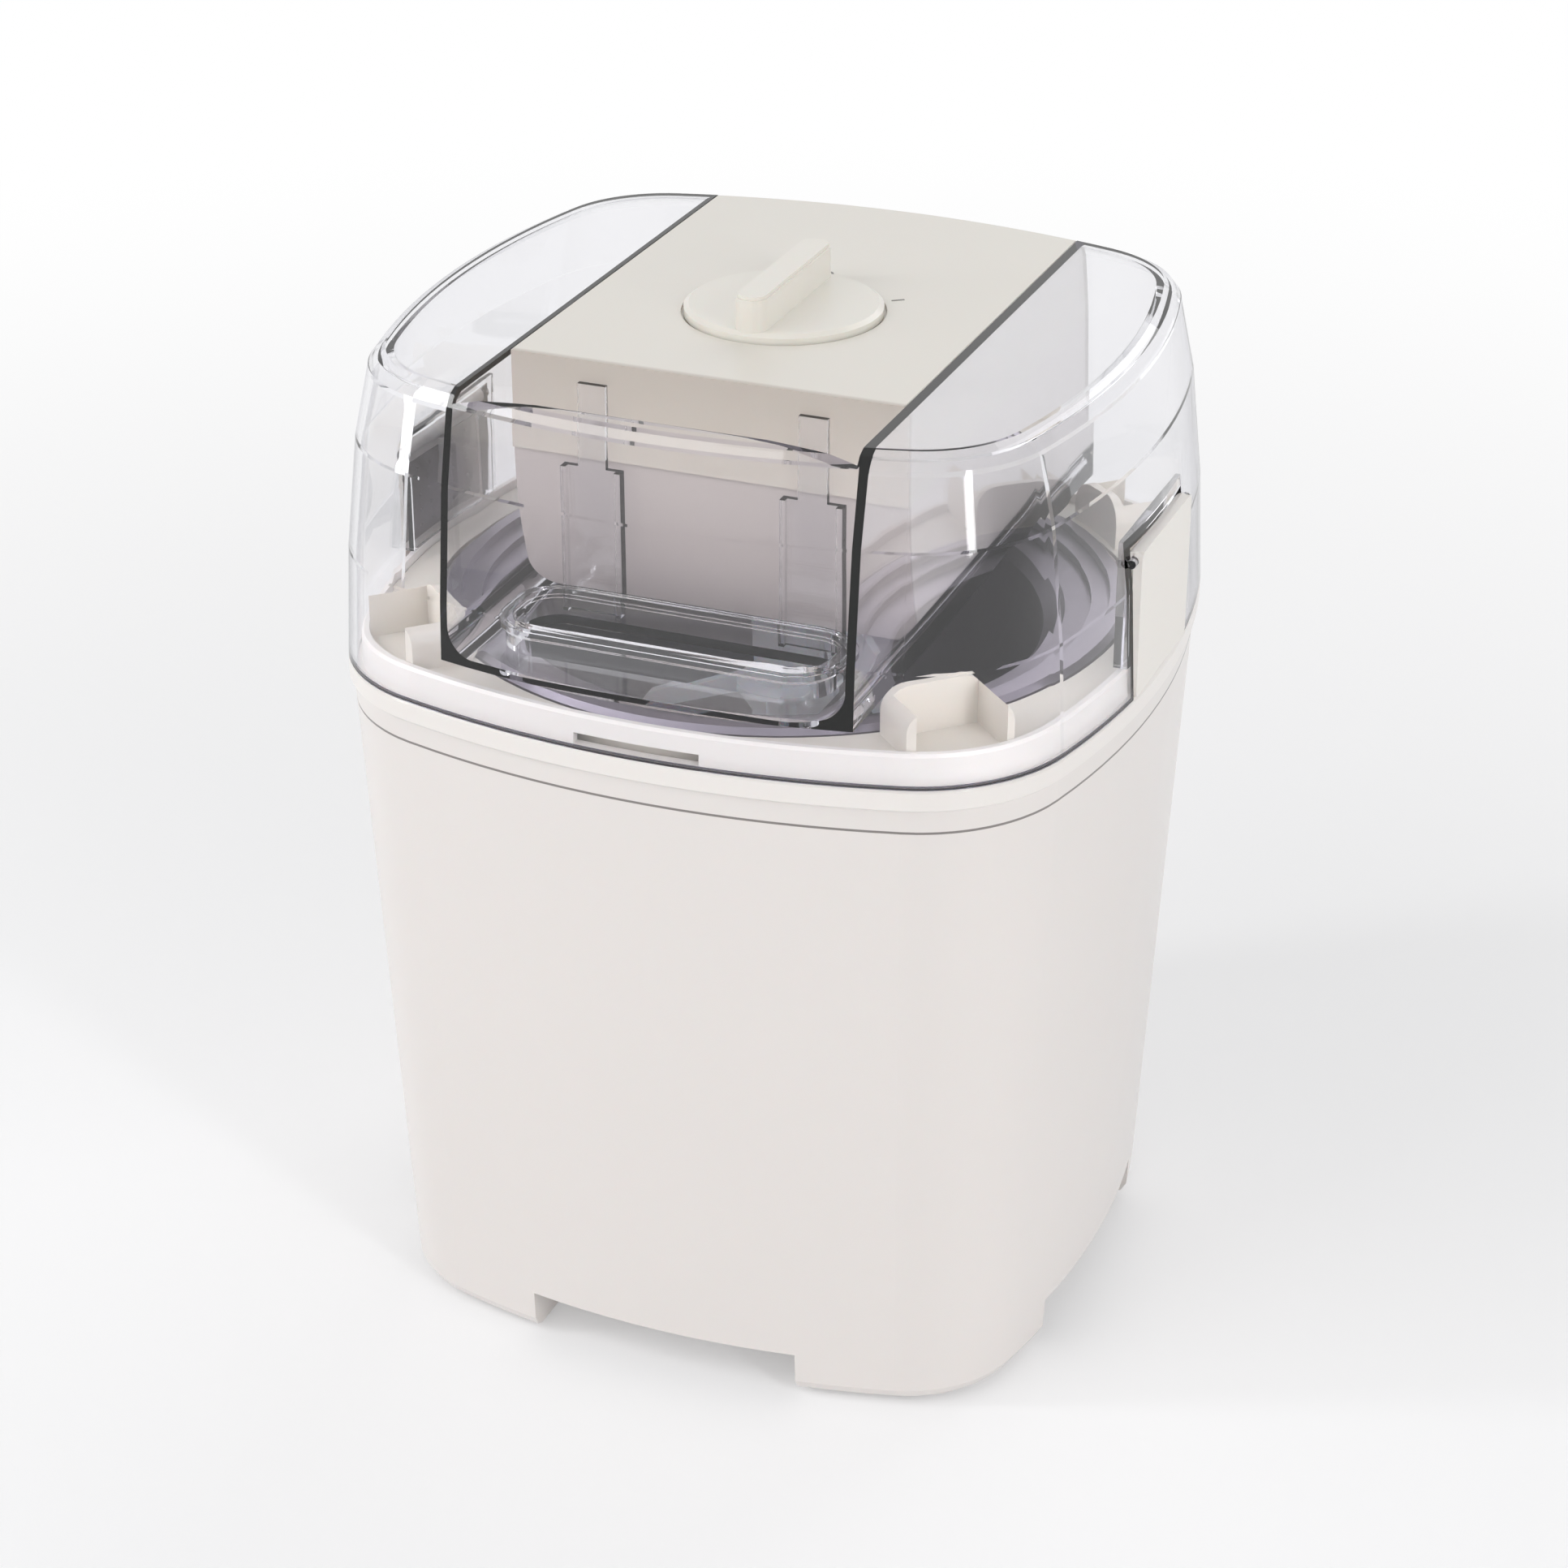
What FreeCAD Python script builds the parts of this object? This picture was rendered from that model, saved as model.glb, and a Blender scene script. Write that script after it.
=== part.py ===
import FreeCAD, Part
import math
import os
import re
import Sketcher

# Ice cream maker: a base that holds a freezer bowl, a clear lid with a
# channel, and a drive unit that drops into the channel and turns a paddle.
# Frame: +Z up, origin under the centre of the feet, -Y is the feed side,
# +Y is the rear with the cable inlet, the latches are on +X and -X.

Vector = FreeCAD.Vector
doc = FreeCAD.newDocument("ice_cream_maker")
sheet = doc.addObject("Spreadsheet::Sheet", "Sizes")

SIZES = {
    # how far a cutting solid runs past what it cuts
    "cut_over": 1.0,
    "cut_far": 20.0,
    # plan outline of the widest band
    "side_room": 15.0,
    "front_room": 10.0,
    "side_radius": 260.0,
    "corner_radius": 46.0,
    # base
    "foot_pad_height": 1.5,
    "foot_pad_radius": 11.0,
    "foot_pad_spacing": 65.0,
    "foot_pad_along": 63.0,
    "foot_gap_half": 40.0,
    "foot_height": 13.0,
    "base_wall": 2.5,
    "base_bottom_inset": 11.0,
    "base_top_inset": 1.2,
    "base_foot_round": 4.0,
    "base_wall_ease": 0.5,
    "seam_height": 192.0,
    "band_height": 6.5,
    "collar_height": 8.5,
    "collar_inset": 3.6,
    "collar_wall": 2.4,
    "ring_lip": 6.0,
    "slot_width": 35.0,
    "slot_height": 3.1,
    "seam_groove": 0.8,
    "ring_edge": 0.9,
    "collar_edge": 0.9,
    # bowl holder
    "deck_gap": 0.25,
    "deck_drop": 2.5,
    "deck_thickness": 2.4,
    "holder_wall": 2.0,
    "holder_corner": 3.0,
    "holder_step_depth": 16.0,
    "guide_width": 28.0,
    "guide_reach": 19.0,
    "guide_height": 14.0,
    "guide_round": 7.0,
    "guide_wall": 2.2,
    "guide_gap": 1.2,
    "boss_spacing": 31.0,
    "boss_radius": 4.5,
    "boss_bite": 0.435,
    "screw_radius": 1.6,
    "screw_head_radius": 3.2,
    "screw_head_height": 1.8,
    "screw_hole_gap": 0.3,
    "screw_length": 10.0,
    "screw_tip_room": 1.3,
    # bowl
    "bowl_clearance": 1.0,
    "bowl_radius": 95.0,
    "bowl_overhang": 2.0,
    "bowl_taper": 9.0,
    "bowl_rim_drop": 1.0,
    "bowl_depth": 166.0,
    "mouth_inset": 20.5,
    "cavity_taper": 4.0,
    "cavity_depth": 128.0,
    "cavity_round": 14.0,
    "bowl_wall": 1.6,
    "rim_step": 5.0,
    "rim_step_drop": 2.4,
    "flange_thickness": 2.4,
    "bowl_seal_height": 2.0,
    "bowl_corner": 8.0,
    "bowl_edge": 1.5,
    "mouth_blend": 4.0,
    "seal_width": 6.0,
    "seal_bulge": 0.6,
    "jacket_wall": 2.0,
    "jacket_lip": 5.0,
    "jacket_lip_depth": 12.0,
    "coolant_drop": 16.0,
    "coolant_gap": 0.2,
    # lid
    "lid_height": 86.5,
    "lid_wall": 2.2,
    "lid_top_inset": 12.0,
    "lid_edge": 4.0,
    "lid_low_inset": 1.6,
    "mouth_drop": 2.0,
    "channel_half_width": 55.2,
    "channel_floor": 14.5,
    "channel_corner": 8.0,
    "feed_edge": 63.0,
    "feed_depth": 24.0,
    "feed_half_width": 44.0,
    "feed_corner": 9.0,
    "feed_rim_wall": 2.0,
    "feed_rim_height": 8.0,
    "feed_bead_width": 3.6,
    "feed_bead_height": 3.2,
    "feed_bead_edge": 0.8,
    "arm_spacing": 31.0,
    "arm_bracket_width": 17.0,
    "arm_bracket_height": 41.0,
    "arm_tab_width": 8.0,
    "arm_tab_height": 64.0,
    "arm_thickness": 1.6,
    "arm_rib": 3.2,
    "arm_gap": 0.5,
    "shaft_hole_radius": 10.4,
    # latches
    "latch_width": 45.0,
    "latch_thickness": 2.4,
    "latch_side_gap": 0.5,
    "latch_pivot_height": 39.5,
    "latch_pivot_inset": 2.8,
    "latch_barrel_radius": 2.3,
    "latch_pin_radius": 1.2,
    "latch_pin_gap": 0.06,
    "latch_pin_socket": 2.0,
    "latch_recess_gap": 0.4,
    "latch_foot_gap": 0.3,
    "latch_bar_radius": 1.6,
    "latch_bar_low": 5.0,
    "latch_bar_room": 8.0,
    "latch_round": 2.0,
    "latch_seat_gap": 1.2,
    "latch_frame_depth": 3.0,
    "latch_skirt_depth": 8.0,
    # drive unit
    "unit_gap": 0.4,
    "unit_front": 55.0,
    "unit_wall": 2.0,
    "unit_rear_inset": 0.3,
    "unit_split": 42.8,
    "unit_floor": 2.8,
    "unit_nose": 10.0,
    "unit_step": 1.0,
    "floor_skin": 0.6,
    "bush_stand": 1.0,
    "boss_cap": 2.0,
    "case_screw_side": 4.0,
    "case_screw_front": 38.6,
    "case_screw_rear": 81.0,
    "case_screw_post": 4.8,
    "case_screw_depth": 6.0,
    "case_screw_grip": 10.0,
    "clip_width": 16.0,
    "clip_depth": 5.0,
    "clip_place": 92.0,
    "recess_depth": 1.0,
    "recess_edge": 4.0,
    "ridge_outer": 27.0,
    "ridge_width": 9.0,
    "ridge_length": 40.0,
    "gland_height": 50.0,
    "plate_thickness": 1.5,
    "post_radius": 3.5,
    "post_half_width": 45.0,
    "post_front": 30.0,
    "post_rear": 72.0,
    "motor_radius": 20.0,
    "motor_height": 36.0,
    "motor_shaft_radius": 1.6,
    "motor_stem": 11.0,
    "motor_cap": 2.0,
    "motor_boss": 3.0,
    "running_gap": 0.05,
    # gears
    "gear_module": 1.0,
    "gear_backlash": 0.22,
    "gear_addendum": 0.85,
    "gear_dedendum": 1.2,
    "pressure_angle": 20.0,
    "pinion_teeth": 14,
    "first_teeth": 56,
    "second_teeth": 50,
    "output_teeth": 42,
    "direction_second": 64.7,
    "direction_first": 176.5,
    "direction_motor": 55.1,
    "gear_layer": 6.5,
    "gear_thickness": 5.0,
    "gear_floor": 2.2,
    "tooth_over": 0.2,
    "axle_radius": 2.0,
    "axle_hub_radius": 5.0,
    # shaft and paddle
    "shaft_radius": 5.0,
    "shaft_drop": 22.0,
    "shaft_flat": 3.2,
    "bush_radius": 7.4,
    "shaft_ring_radius": 9.5,
    "shaft_ring_edge": 1.0,
    "shaft_ring_gap": 0.3,
    "shaft_edge": 0.8,
    "paddle_socket_radius": 8.5,
    "paddle_socket_height": 34.0,
    "paddle_flange_radius": 13.0,
    "paddle_rod_radius": 5.0,
    "paddle_boss_radius": 7.5,
    "paddle_boss_height": 18.0,
    "paddle_floor_gap": 1.5,
    "paddle_wall_gap": 1.6,
    "paddle_thickness": 4.0,
    "paddle_bar": 6.0,
    "paddle_top_gap": 3.0,
    "paddle_fit_gap": 0.08,
    "paddle_toe": 30.0,
    "paddle_knee": 34.0,
    "paddle_tip": 8.0,
    "paddle_wing": 50.0,
    "paddle_web": 14.0,
    "paddle_window_gap": 1.5,
    "paddle_fin_side": 5.0,
    "paddle_flange_edge": 1.0,
    # knob
    "knob_radius": 27.0,
    "knob_disc_height": 3.0,
    "knob_gap": 0.5,
    "knob_grip_height": 9.5,
    "knob_grip_width": 9.0,
    "knob_spindle_radius": 4.0,
    "knob_well_gap": 0.8,
    "knob_well_depth": 1.0,
    "knob_edge": 0.9,
    "switch_radius": 16.0,
    "switch_height": 12.0,
    "switch_edge": 2.0,
    "gland_radius": 6.0,
    "gland_neck": 1.5,
    "gland_bore": 3.0,
    "gland_seat_depth": 7.0,
    "gland_length": 5.0,
    "gland_collar": 3.4,
}

# Lengths that follow from the ones above.
DERIVED = {
    "rim_half_width": "bowl_radius + side_room",
    "rim_half_depth": "bowl_radius + front_room",
    "bowl_mouth_radius": "bowl_radius - mouth_inset",
    "cavity_bottom_radius": "bowl_radius - mouth_inset - cavity_taper",
    "bowl_body_radius": "bowl_radius - bowl_overhang",
    "bowl_bottom_radius": "bowl_radius - bowl_overhang - bowl_taper",
    "corner_span": "sqrt((side_radius - rim_half_width)^2 + (side_radius - rim_half_depth)^2)",
    "corner_rise": "sqrt((side_radius - corner_radius)^2 - corner_span^2 / 4)",
    "corner_x": "(rim_half_width - side_radius) / 2"
                " + corner_rise * (side_radius - rim_half_depth) / corner_span",
    "corner_y": "(rim_half_depth - side_radius) / 2"
                " + corner_rise * (side_radius - rim_half_width) / corner_span",
    "foot_roof": "foot_pad_height + foot_height",
    "floor_top": "foot_pad_height + foot_height + base_wall",
    "shoulder_height": "seam_height + band_height",
    "collar_top": "seam_height + band_height + collar_height",
    "deck_top": "seam_height + band_height + collar_height - deck_drop",
    "bowl_rim_height": "seam_height + band_height + collar_height - bowl_rim_drop",
    "holder_floor_height": "bowl_rim_height - bowl_depth",
    "base_screw_grip": "boss_bite * (bowl_rim_height - bowl_depth - floor_top)",
    "cavity_floor_height": "bowl_rim_height - cavity_depth",
    "lid_top": "seam_height + band_height + lid_height",
    "channel_base": "seam_height + band_height + channel_floor",
    "channel_top": "seam_height + band_height + channel_floor + lid_wall",
    "unit_base": "seam_height + band_height + channel_floor + lid_wall + unit_gap",
    "unit_half": "channel_half_width - unit_gap",
    "split_height": "seam_height + band_height + channel_floor + lid_wall + unit_split",
    "nose_radius": "((split_height - unit_base)^2 + (unit_nose - unit_step)^2)"
                   " / (2 * (unit_nose - unit_step))",
    "first_distance": "(pinion_teeth + first_teeth) * gear_module / 2",
    "second_distance": "(pinion_teeth + second_teeth) * gear_module / 2",
    "output_distance": "(pinion_teeth + output_teeth) * gear_module / 2",
    "second_phase": "direction_second + 180 + (output_teeth * direction_second - 180) / pinion_teeth",
    "first_phase": "direction_first + 180"
                   " - (180 + second_teeth * (second_phase - direction_first)) / pinion_teeth",
    "motor_phase": "direction_motor + 180"
                   " - (180 + first_teeth * (first_phase - direction_motor)) / pinion_teeth",
    "gear_base": "unit_base + unit_floor + gear_floor",
    "plate_low": "gear_base + 3 * gear_layer",
    "motor_low": "plate_low + plate_thickness",
    "socket_top": "seam_height + band_height + channel_floor - paddle_top_gap",
    "socket_low": "socket_top - paddle_socket_height",
    "paddle_low": "cavity_floor_height + paddle_floor_gap",
    "paddle_reach": "cavity_bottom_radius - paddle_wall_gap",
}
row = 0
for name, value in SIZES.items():
    row += 1
    sheet.set(f"A{row}", name)
    sheet.set(f"B{row}", str(value))
    sheet.setAlias(f"B{row}", name)
for name, formula in DERIVED.items():
    row += 1
    sheet.set(f"A{row}", name)
    sheet.set(f"B{row}", "=" + formula)
    sheet.setAlias(f"B{row}", name)
doc.recompute()
NAMES = set(SIZES) | set(DERIVED)


def ex(text):
    """Write a formula so that every size in it is read from the sheet."""
    return re.sub(r"[a-z][a-z_]+", lambda m: "Sizes." + m.group(0) if m.group(0) in NAMES
                  else m.group(0), str(text))


def val(text):
    """Return a formula's present value as a plain number."""
    result = sheet.evalExpression(ex(text).replace("Sizes.", ""))
    return float(getattr(result, "Value", result))


def bind(thing, prop, text):
    """Bind one property to a formula."""
    thing.setExpression(prop, ex(text))


# ---------------------------------------------------------------- sketches
def new_body(name):
    return doc.addObject("PartDesign::Body", name)


def origin_part(body, role):
    return [item for item in body.Origin.OriginFeatures if item.Role == role][0]


def sketch_on(body, role, height="0"):
    """Add a sketch on an origin plane, moved along the plane's normal."""
    sketch = body.newObject("Sketcher::SketchObject", body.Name + "_sketch")
    sketch.AttachmentSupport = [(origin_part(body, role), "")]
    sketch.MapMode = "FlatFace"
    sketch.AttachmentOffset = FreeCAD.Placement(Vector(0, 0, val(height)), FreeCAD.Rotation())
    bind(sketch, "AttachmentOffset.Base.z", height)
    return sketch


def dimension(sketch, constraint, text):
    index = sketch.addConstraint(constraint)
    if str(text) != "0":
        sketch.setExpression(f"Constraints[{index}]", ex(text))


def place(sketch, item, point, x, y):
    """Hold a point of the sketch at (x, y)."""
    dimension(sketch, Sketcher.Constraint("DistanceX", -1, 1, item, point, val(x)), x)
    dimension(sketch, Sketcher.Constraint("DistanceY", -1, 1, item, point, val(y)), y)


def polygon(sketch, points):
    """Draw a closed outline of straight lines through the points."""
    spots = [Vector(val(x), val(y), 0) for x, y in points]
    first = sketch.GeometryCount
    count = len(points)
    for i in range(count):
        sketch.addGeometry(Part.LineSegment(spots[i], spots[(i + 1) % count]), False)
    for i in range(count):
        following = first + (i + 1) % count
        sketch.addConstraint(Sketcher.Constraint("Coincident", first + i, 2, following, 1))
        place(sketch, first + i, 1, *points[i])


def circle(sketch, x, y, radius):
    item = sketch.addGeometry(Part.Circle(Vector(val(x), val(y), 0), Vector(0, 0, 1), val(radius)), False)
    place(sketch, item, 3, x, y)
    dimension(sketch, Sketcher.Constraint("Radius", item, val(radius)), radius)


def rounded(sketch, x_low, x_high, y_low, y_high, radius):
    """Draw a rectangle with four equal round corners."""
    left, right, low, high, r = [val(t) for t in (x_low, x_high, y_low, y_high, radius)]
    centres = [(right - r, high - r, 0), (left + r, high - r, 90),
               (left + r, low + r, 180), (right - r, low + r, 270)]
    texts = [(f"{x_high} - ({radius})", f"{y_high} - ({radius})"),
             (f"{x_low} + {radius}", f"{y_high} - ({radius})"),
             (f"{x_low} + {radius}", f"{y_low} + {radius}"),
             (f"{x_high} - ({radius})", f"{y_low} + {radius}")]
    arcs = []
    for x, y, turn in centres:
        whole = Part.Circle(Vector(x, y, 0), Vector(0, 0, 1), r)
        arcs.append(sketch.addGeometry(
            Part.ArcOfCircle(whole, math.radians(turn), math.radians(turn + 90)), False))
    sketch_lines = []
    for i in range(4):
        start = sketch.getPoint(arcs[i], 2)
        end = sketch.getPoint(arcs[(i + 1) % 4], 1)
        sketch_lines.append(sketch.addGeometry(Part.LineSegment(start, end), False))
    for i in range(4):
        sketch.addConstraint(Sketcher.Constraint("Tangent", arcs[i], 2, sketch_lines[i], 1))
        sketch.addConstraint(Sketcher.Constraint("Tangent", sketch_lines[i], 2, arcs[(i + 1) % 4], 1))
    for arc, (x, y) in zip(arcs, texts):
        place(sketch, arc, 3, x, y)
        dimension(sketch, Sketcher.Constraint("Radius", arc, r), radius)


def tongue(sketch, half, low, high, radius):
    """Draw an upright tongue with two round top corners."""
    middle, foot, top, r = [val(t) for t in (half, low, high, radius)]
    arcs = []
    for side, turn in ((1, 0), (-1, 90)):
        whole = Part.Circle(Vector(side * (middle - r), top - r, 0), Vector(0, 0, 1), r)
        arcs.append(sketch.addGeometry(
            Part.ArcOfCircle(whole, math.radians(turn), math.radians(turn + 90)), False))
    spots = [Vector(middle - r, top, 0), Vector(r - middle, top, 0), Vector(-middle, top - r, 0),
             Vector(-middle, foot, 0), Vector(middle, foot, 0), Vector(middle, top - r, 0)]
    over, left, across, right = [sketch.addGeometry(Part.LineSegment(spots[i], spots[i + 1]), False)
                                 for i in (0, 2, 3, 4)]
    for first, second in (((arcs[0], 2), (over, 1)), ((over, 2), (arcs[1], 1)), ((arcs[1], 2), (left, 1)),
                          ((right, 2), (arcs[0], 1))):
        sketch.addConstraint(Sketcher.Constraint("Tangent", *first, *second))
    for first, second in (((left, 2), (across, 1)), ((across, 2), (right, 1))):
        sketch.addConstraint(Sketcher.Constraint("Coincident", *first, *second))
    place(sketch, arcs[0], 3, f"{half} - ({radius})", f"{high} - ({radius})")
    place(sketch, arcs[1], 3, f"-({half} - ({radius}))", f"{high} - ({radius})")
    for arc in arcs:
        dimension(sketch, Sketcher.Constraint("Radius", arc, r), radius)
    place(sketch, across, 1, f"-({half})", low)
    place(sketch, across, 2, half, low)


def outline(sketch, inset):
    """Draw the plan outline, moved in from the widest band by the inset.

    Four long arcs are the bulging sides and four short arcs the corners.
    """
    far_x, far_y = val("rim_half_width"), val("rim_half_depth")
    side, corner = val("side_radius"), val("corner_radius")
    away = val(inset)
    corner_x, corner_y = val("corner_x"), val("corner_y")
    low = math.atan2(corner_y, corner_x - far_x + side)
    high = math.atan2(corner_y - far_y + side, corner_x)
    right, top = far_x - side, far_y - side
    pieces = [
        (right, 0, side, -low, low), (corner_x, corner_y, corner, low, high),
        (0, top, side, high, math.pi - high), (-corner_x, corner_y, corner, math.pi - high, math.pi - low),
        (-right, 0, side, math.pi - low, math.pi + low),
        (-corner_x, -corner_y, corner, math.pi + low, math.pi + high),
        (0, -top, side, math.pi + high, 2 * math.pi - high),
        (corner_x, -corner_y, corner, 2 * math.pi - high, 2 * math.pi - low)]
    items = []
    for x, y, radius, start, end in pieces:
        whole = Part.Circle(Vector(x, y, 0), Vector(0, 0, 1), radius - away)
        items.append(sketch.addGeometry(Part.ArcOfCircle(whole, start, end), False))
    for i in range(8):
        sketch.addConstraint(Sketcher.Constraint("Tangent", items[i], 2, items[(i + 1) % 8], 1))
    across, along = "rim_half_width - side_radius", "rim_half_depth - side_radius"
    place(sketch, items[0], 3, across, "0")
    place(sketch, items[2], 3, "0", along)
    place(sketch, items[4], 3, f"-({across})", "0")
    place(sketch, items[6], 3, "0", f"-({along})")
    for i in range(8):
        base = "side_radius" if i % 2 == 0 else "corner_radius"
        size = f"{base} - ({inset})"
        dimension(sketch, Sketcher.Constraint("Radius", items[i], val(size)), size)


# ---------------------------------------------------------------- features
def pad(body, sketch, length, reverse=False, middle=False):
    feature = body.newObject("PartDesign::Pad", body.Name + "_pad")
    feature.Profile = sketch
    feature.Reversed = reverse
    if middle:
        feature.SideType = "Symmetric"
    bind(feature, "Length", length)
    return feature


def pocket(body, sketch, length, reverse=False, middle=False):
    feature = body.newObject("PartDesign::Pocket", body.Name + "_pocket")
    feature.Profile = sketch
    feature.Reversed = reverse
    if middle:
        feature.SideType = "Symmetric"
    bind(feature, "Length", length)
    return feature


def turned(body, points, cut=False):
    """Turn an outline of (radius, height) points round the Z axis."""
    sketch = sketch_on(body, "XZ_Plane")
    polygon(sketch, points)
    kind = "PartDesign::Groove" if cut else "PartDesign::Revolution"
    feature = body.newObject(kind, body.Name + "_turned")
    feature.Profile = sketch
    feature.ReferenceAxis = (sketch, ["V_Axis"])
    feature.Angle = 360
    return feature


def loft(body, sections, cut=False):
    """Join plan outlines given as (height, inset) pairs."""
    sketches = []
    for height, inset in sections:
        sketch = sketch_on(body, "XY_Plane", height)
        outline(sketch, inset)
        sketches.append(sketch)
    kind = "PartDesign::SubtractiveLoft" if cut else "PartDesign::AdditiveLoft"
    feature = body.newObject(kind, body.Name + "_loft")
    feature.Profile = sketches[0]
    feature.Sections = sketches[1:]
    feature.Ruled = True
    return feature


def around(body, features, count):
    """Repeat features evenly round the Z axis."""
    feature = body.newObject("PartDesign::PolarPattern", body.Name + "_pattern")
    feature.Originals = features
    feature.Axis = (origin_part(body, "Z_Axis"), [""])
    feature.Angle = 360
    feature.Occurrences = max(2, int(round(val(count))))
    bind(feature, "Occurrences", count)
    body.Tip = feature
    return feature


# ---------------------------------------------------------- whole-solid tools
def box(name, x_low, x_high, y_low, y_high, z_low, z_high):
    solid = doc.addObject("Part::Box", name)
    for prop, low, high in (("Length", x_low, x_high), ("Width", y_low, y_high), ("Height", z_low, z_high)):
        bind(solid, prop, f"({high}) - ({low})")
    for axis, low in (("x", x_low), ("y", y_low), ("z", z_low)):
        bind(solid, f"Placement.Base.{axis}", low)
    return solid


def cylinder(name, x, y, z_low, z_high, radius):
    solid = doc.addObject("Part::Cylinder", name)
    bind(solid, "Radius", radius)
    bind(solid, "Height", f"({z_high}) - ({z_low})")
    for axis, low in (("x", x), ("y", y), ("z", z_low)):
        bind(solid, f"Placement.Base.{axis}", low)
    return solid


def rod(name, direction, x, y, z, length, radius):
    """Add a cylinder lying along X or Y, starting at (x, y, z)."""
    solid = doc.addObject("Part::Cylinder", name)
    axis, angle = (Vector(0, 1, 0), 90) if direction == "x" else (Vector(1, 0, 0), -90)
    solid.Placement = FreeCAD.Placement(Vector(0, 0, 0), FreeCAD.Rotation(axis, angle))
    bind(solid, "Radius", radius)
    bind(solid, "Height", length)
    for axis, low in (("x", x), ("y", y), ("z", z)):
        bind(solid, f"Placement.Base.{axis}", low)
    return solid


def fuse(name, solids):
    joined = doc.addObject("Part::MultiFuse", name)
    joined.Shapes = solids
    return joined


def common(name, solids):
    shared = doc.addObject("Part::MultiCommon", name)
    shared.Shapes = solids
    return shared


def cut(name, base, tools):
    result = doc.addObject("Part::Cut", name)
    result.Base = base
    result.Tool = tools[0] if len(tools) == 1 else fuse(name + "_tools", tools)
    return result


def gather(name, solids):
    group = doc.addObject("Part::Compound", name)
    group.Links = solids
    return group


NODES = {}


def node(name, thing):
    """Name a finished piece; the name is also its file name."""
    thing.Label = name
    NODES[name] = thing
    return thing


# ------------------------------------------------------------------ the base
def make_base_shell():
    body = new_body("base_shell_body")
    loft(body, [("foot_pad_height", "base_bottom_inset + base_foot_round"),
                ("foot_pad_height + 0.3 * base_foot_round", "base_bottom_inset + 0.4 * base_foot_round"),
                ("foot_pad_height + base_foot_round", "base_bottom_inset"),
                ("seam_height", "base_top_inset")])
    loft(body, [("floor_top", "base_bottom_inset - base_wall_ease + base_wall"),
                ("seam_height", "base_top_inset + base_wall")], cut=True)
    wells = sketch_on(body, "XY_Plane", "floor_top")
    near = "foot_gap_half + base_wall"
    radius = "(corner_radius - base_bottom_inset - 1.6 * base_wall)"
    for sx in ("", "-"):
        for sy in ("", "-"):
            points = [(near, near), (f"corner_x + {radius}", near)]
            for turn in (0, 22.5, 45, 67.5, 90):
                points.append((f"corner_x + {radius} * cos({turn})", f"corner_y + {radius} * sin({turn})"))
            points.append((near, f"corner_y + {radius}"))
            polygon(wells, [(f"{sx}({x})", f"{sy}({y})") for x, y in points])
    pocket(body, wells, "foot_height")
    arms = sketch_on(body, "XY_Plane", "foot_pad_height - cut_over")
    g, f = "foot_gap_half", "rim_half_width + cut_far"
    polygon(arms, [(g, g), (g, f), ("-" + g, f), ("-" + g, g), (f"-({f})", g), (f"-({f})", "-" + g),
                   ("-" + g, "-" + g), ("-" + g, f"-({f})"), (g, f"-({f})"), (g, "-" + g), (f, "-" + g),
                   (f, g)])
    pocket(body, arms, "foot_height + cut_over", reverse=True)
    holes = sketch_on(body, "XY_Plane", "floor_top + cut_over")
    for sx in ("", "-"):
        for sy in ("", "-"):
            circle(holes, sx + "boss_spacing", sy + "boss_spacing", "screw_radius + screw_hole_gap")
    pocket(body, holes, "base_wall + 2 * cut_over")
    return node("base_shell", body)


def make_shoulder_ring():
    body = new_body("shoulder_ring_body")
    loft(body, [("seam_height - ring_lip", "base_top_inset + base_wall + 3 * deck_gap"),
                ("seam_height", "base_top_inset + base_wall + deck_gap")])
    loft(body, [("seam_height", "ring_edge"), ("seam_height + seam_groove", "0"),
                ("shoulder_height - ring_edge", "0"), ("shoulder_height", "0.7 * ring_edge")])
    loft(body, [("shoulder_height", "collar_inset"),
                ("collar_top - collar_edge", "collar_inset + collar_edge / 3"),
                ("collar_top", "collar_inset + collar_edge")])
    loft(body, [("seam_height - ring_lip - cut_over", "collar_inset + collar_wall"),
                ("collar_top + cut_over", "collar_inset + collar_wall")], cut=True)
    for role in ("XZ_Plane", "YZ_Plane"):
        slots = sketch_on(body, role)
        polygon(slots, [("-slot_width / 2", "shoulder_height"), ("slot_width / 2", "shoulder_height"),
                        ("slot_width / 2", "shoulder_height + slot_height"),
                        ("-slot_width / 2", "shoulder_height + slot_height")])
        pocket(body, slots, "4 * rim_half_width", middle=True)
    return node("shoulder_ring", body)


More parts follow.
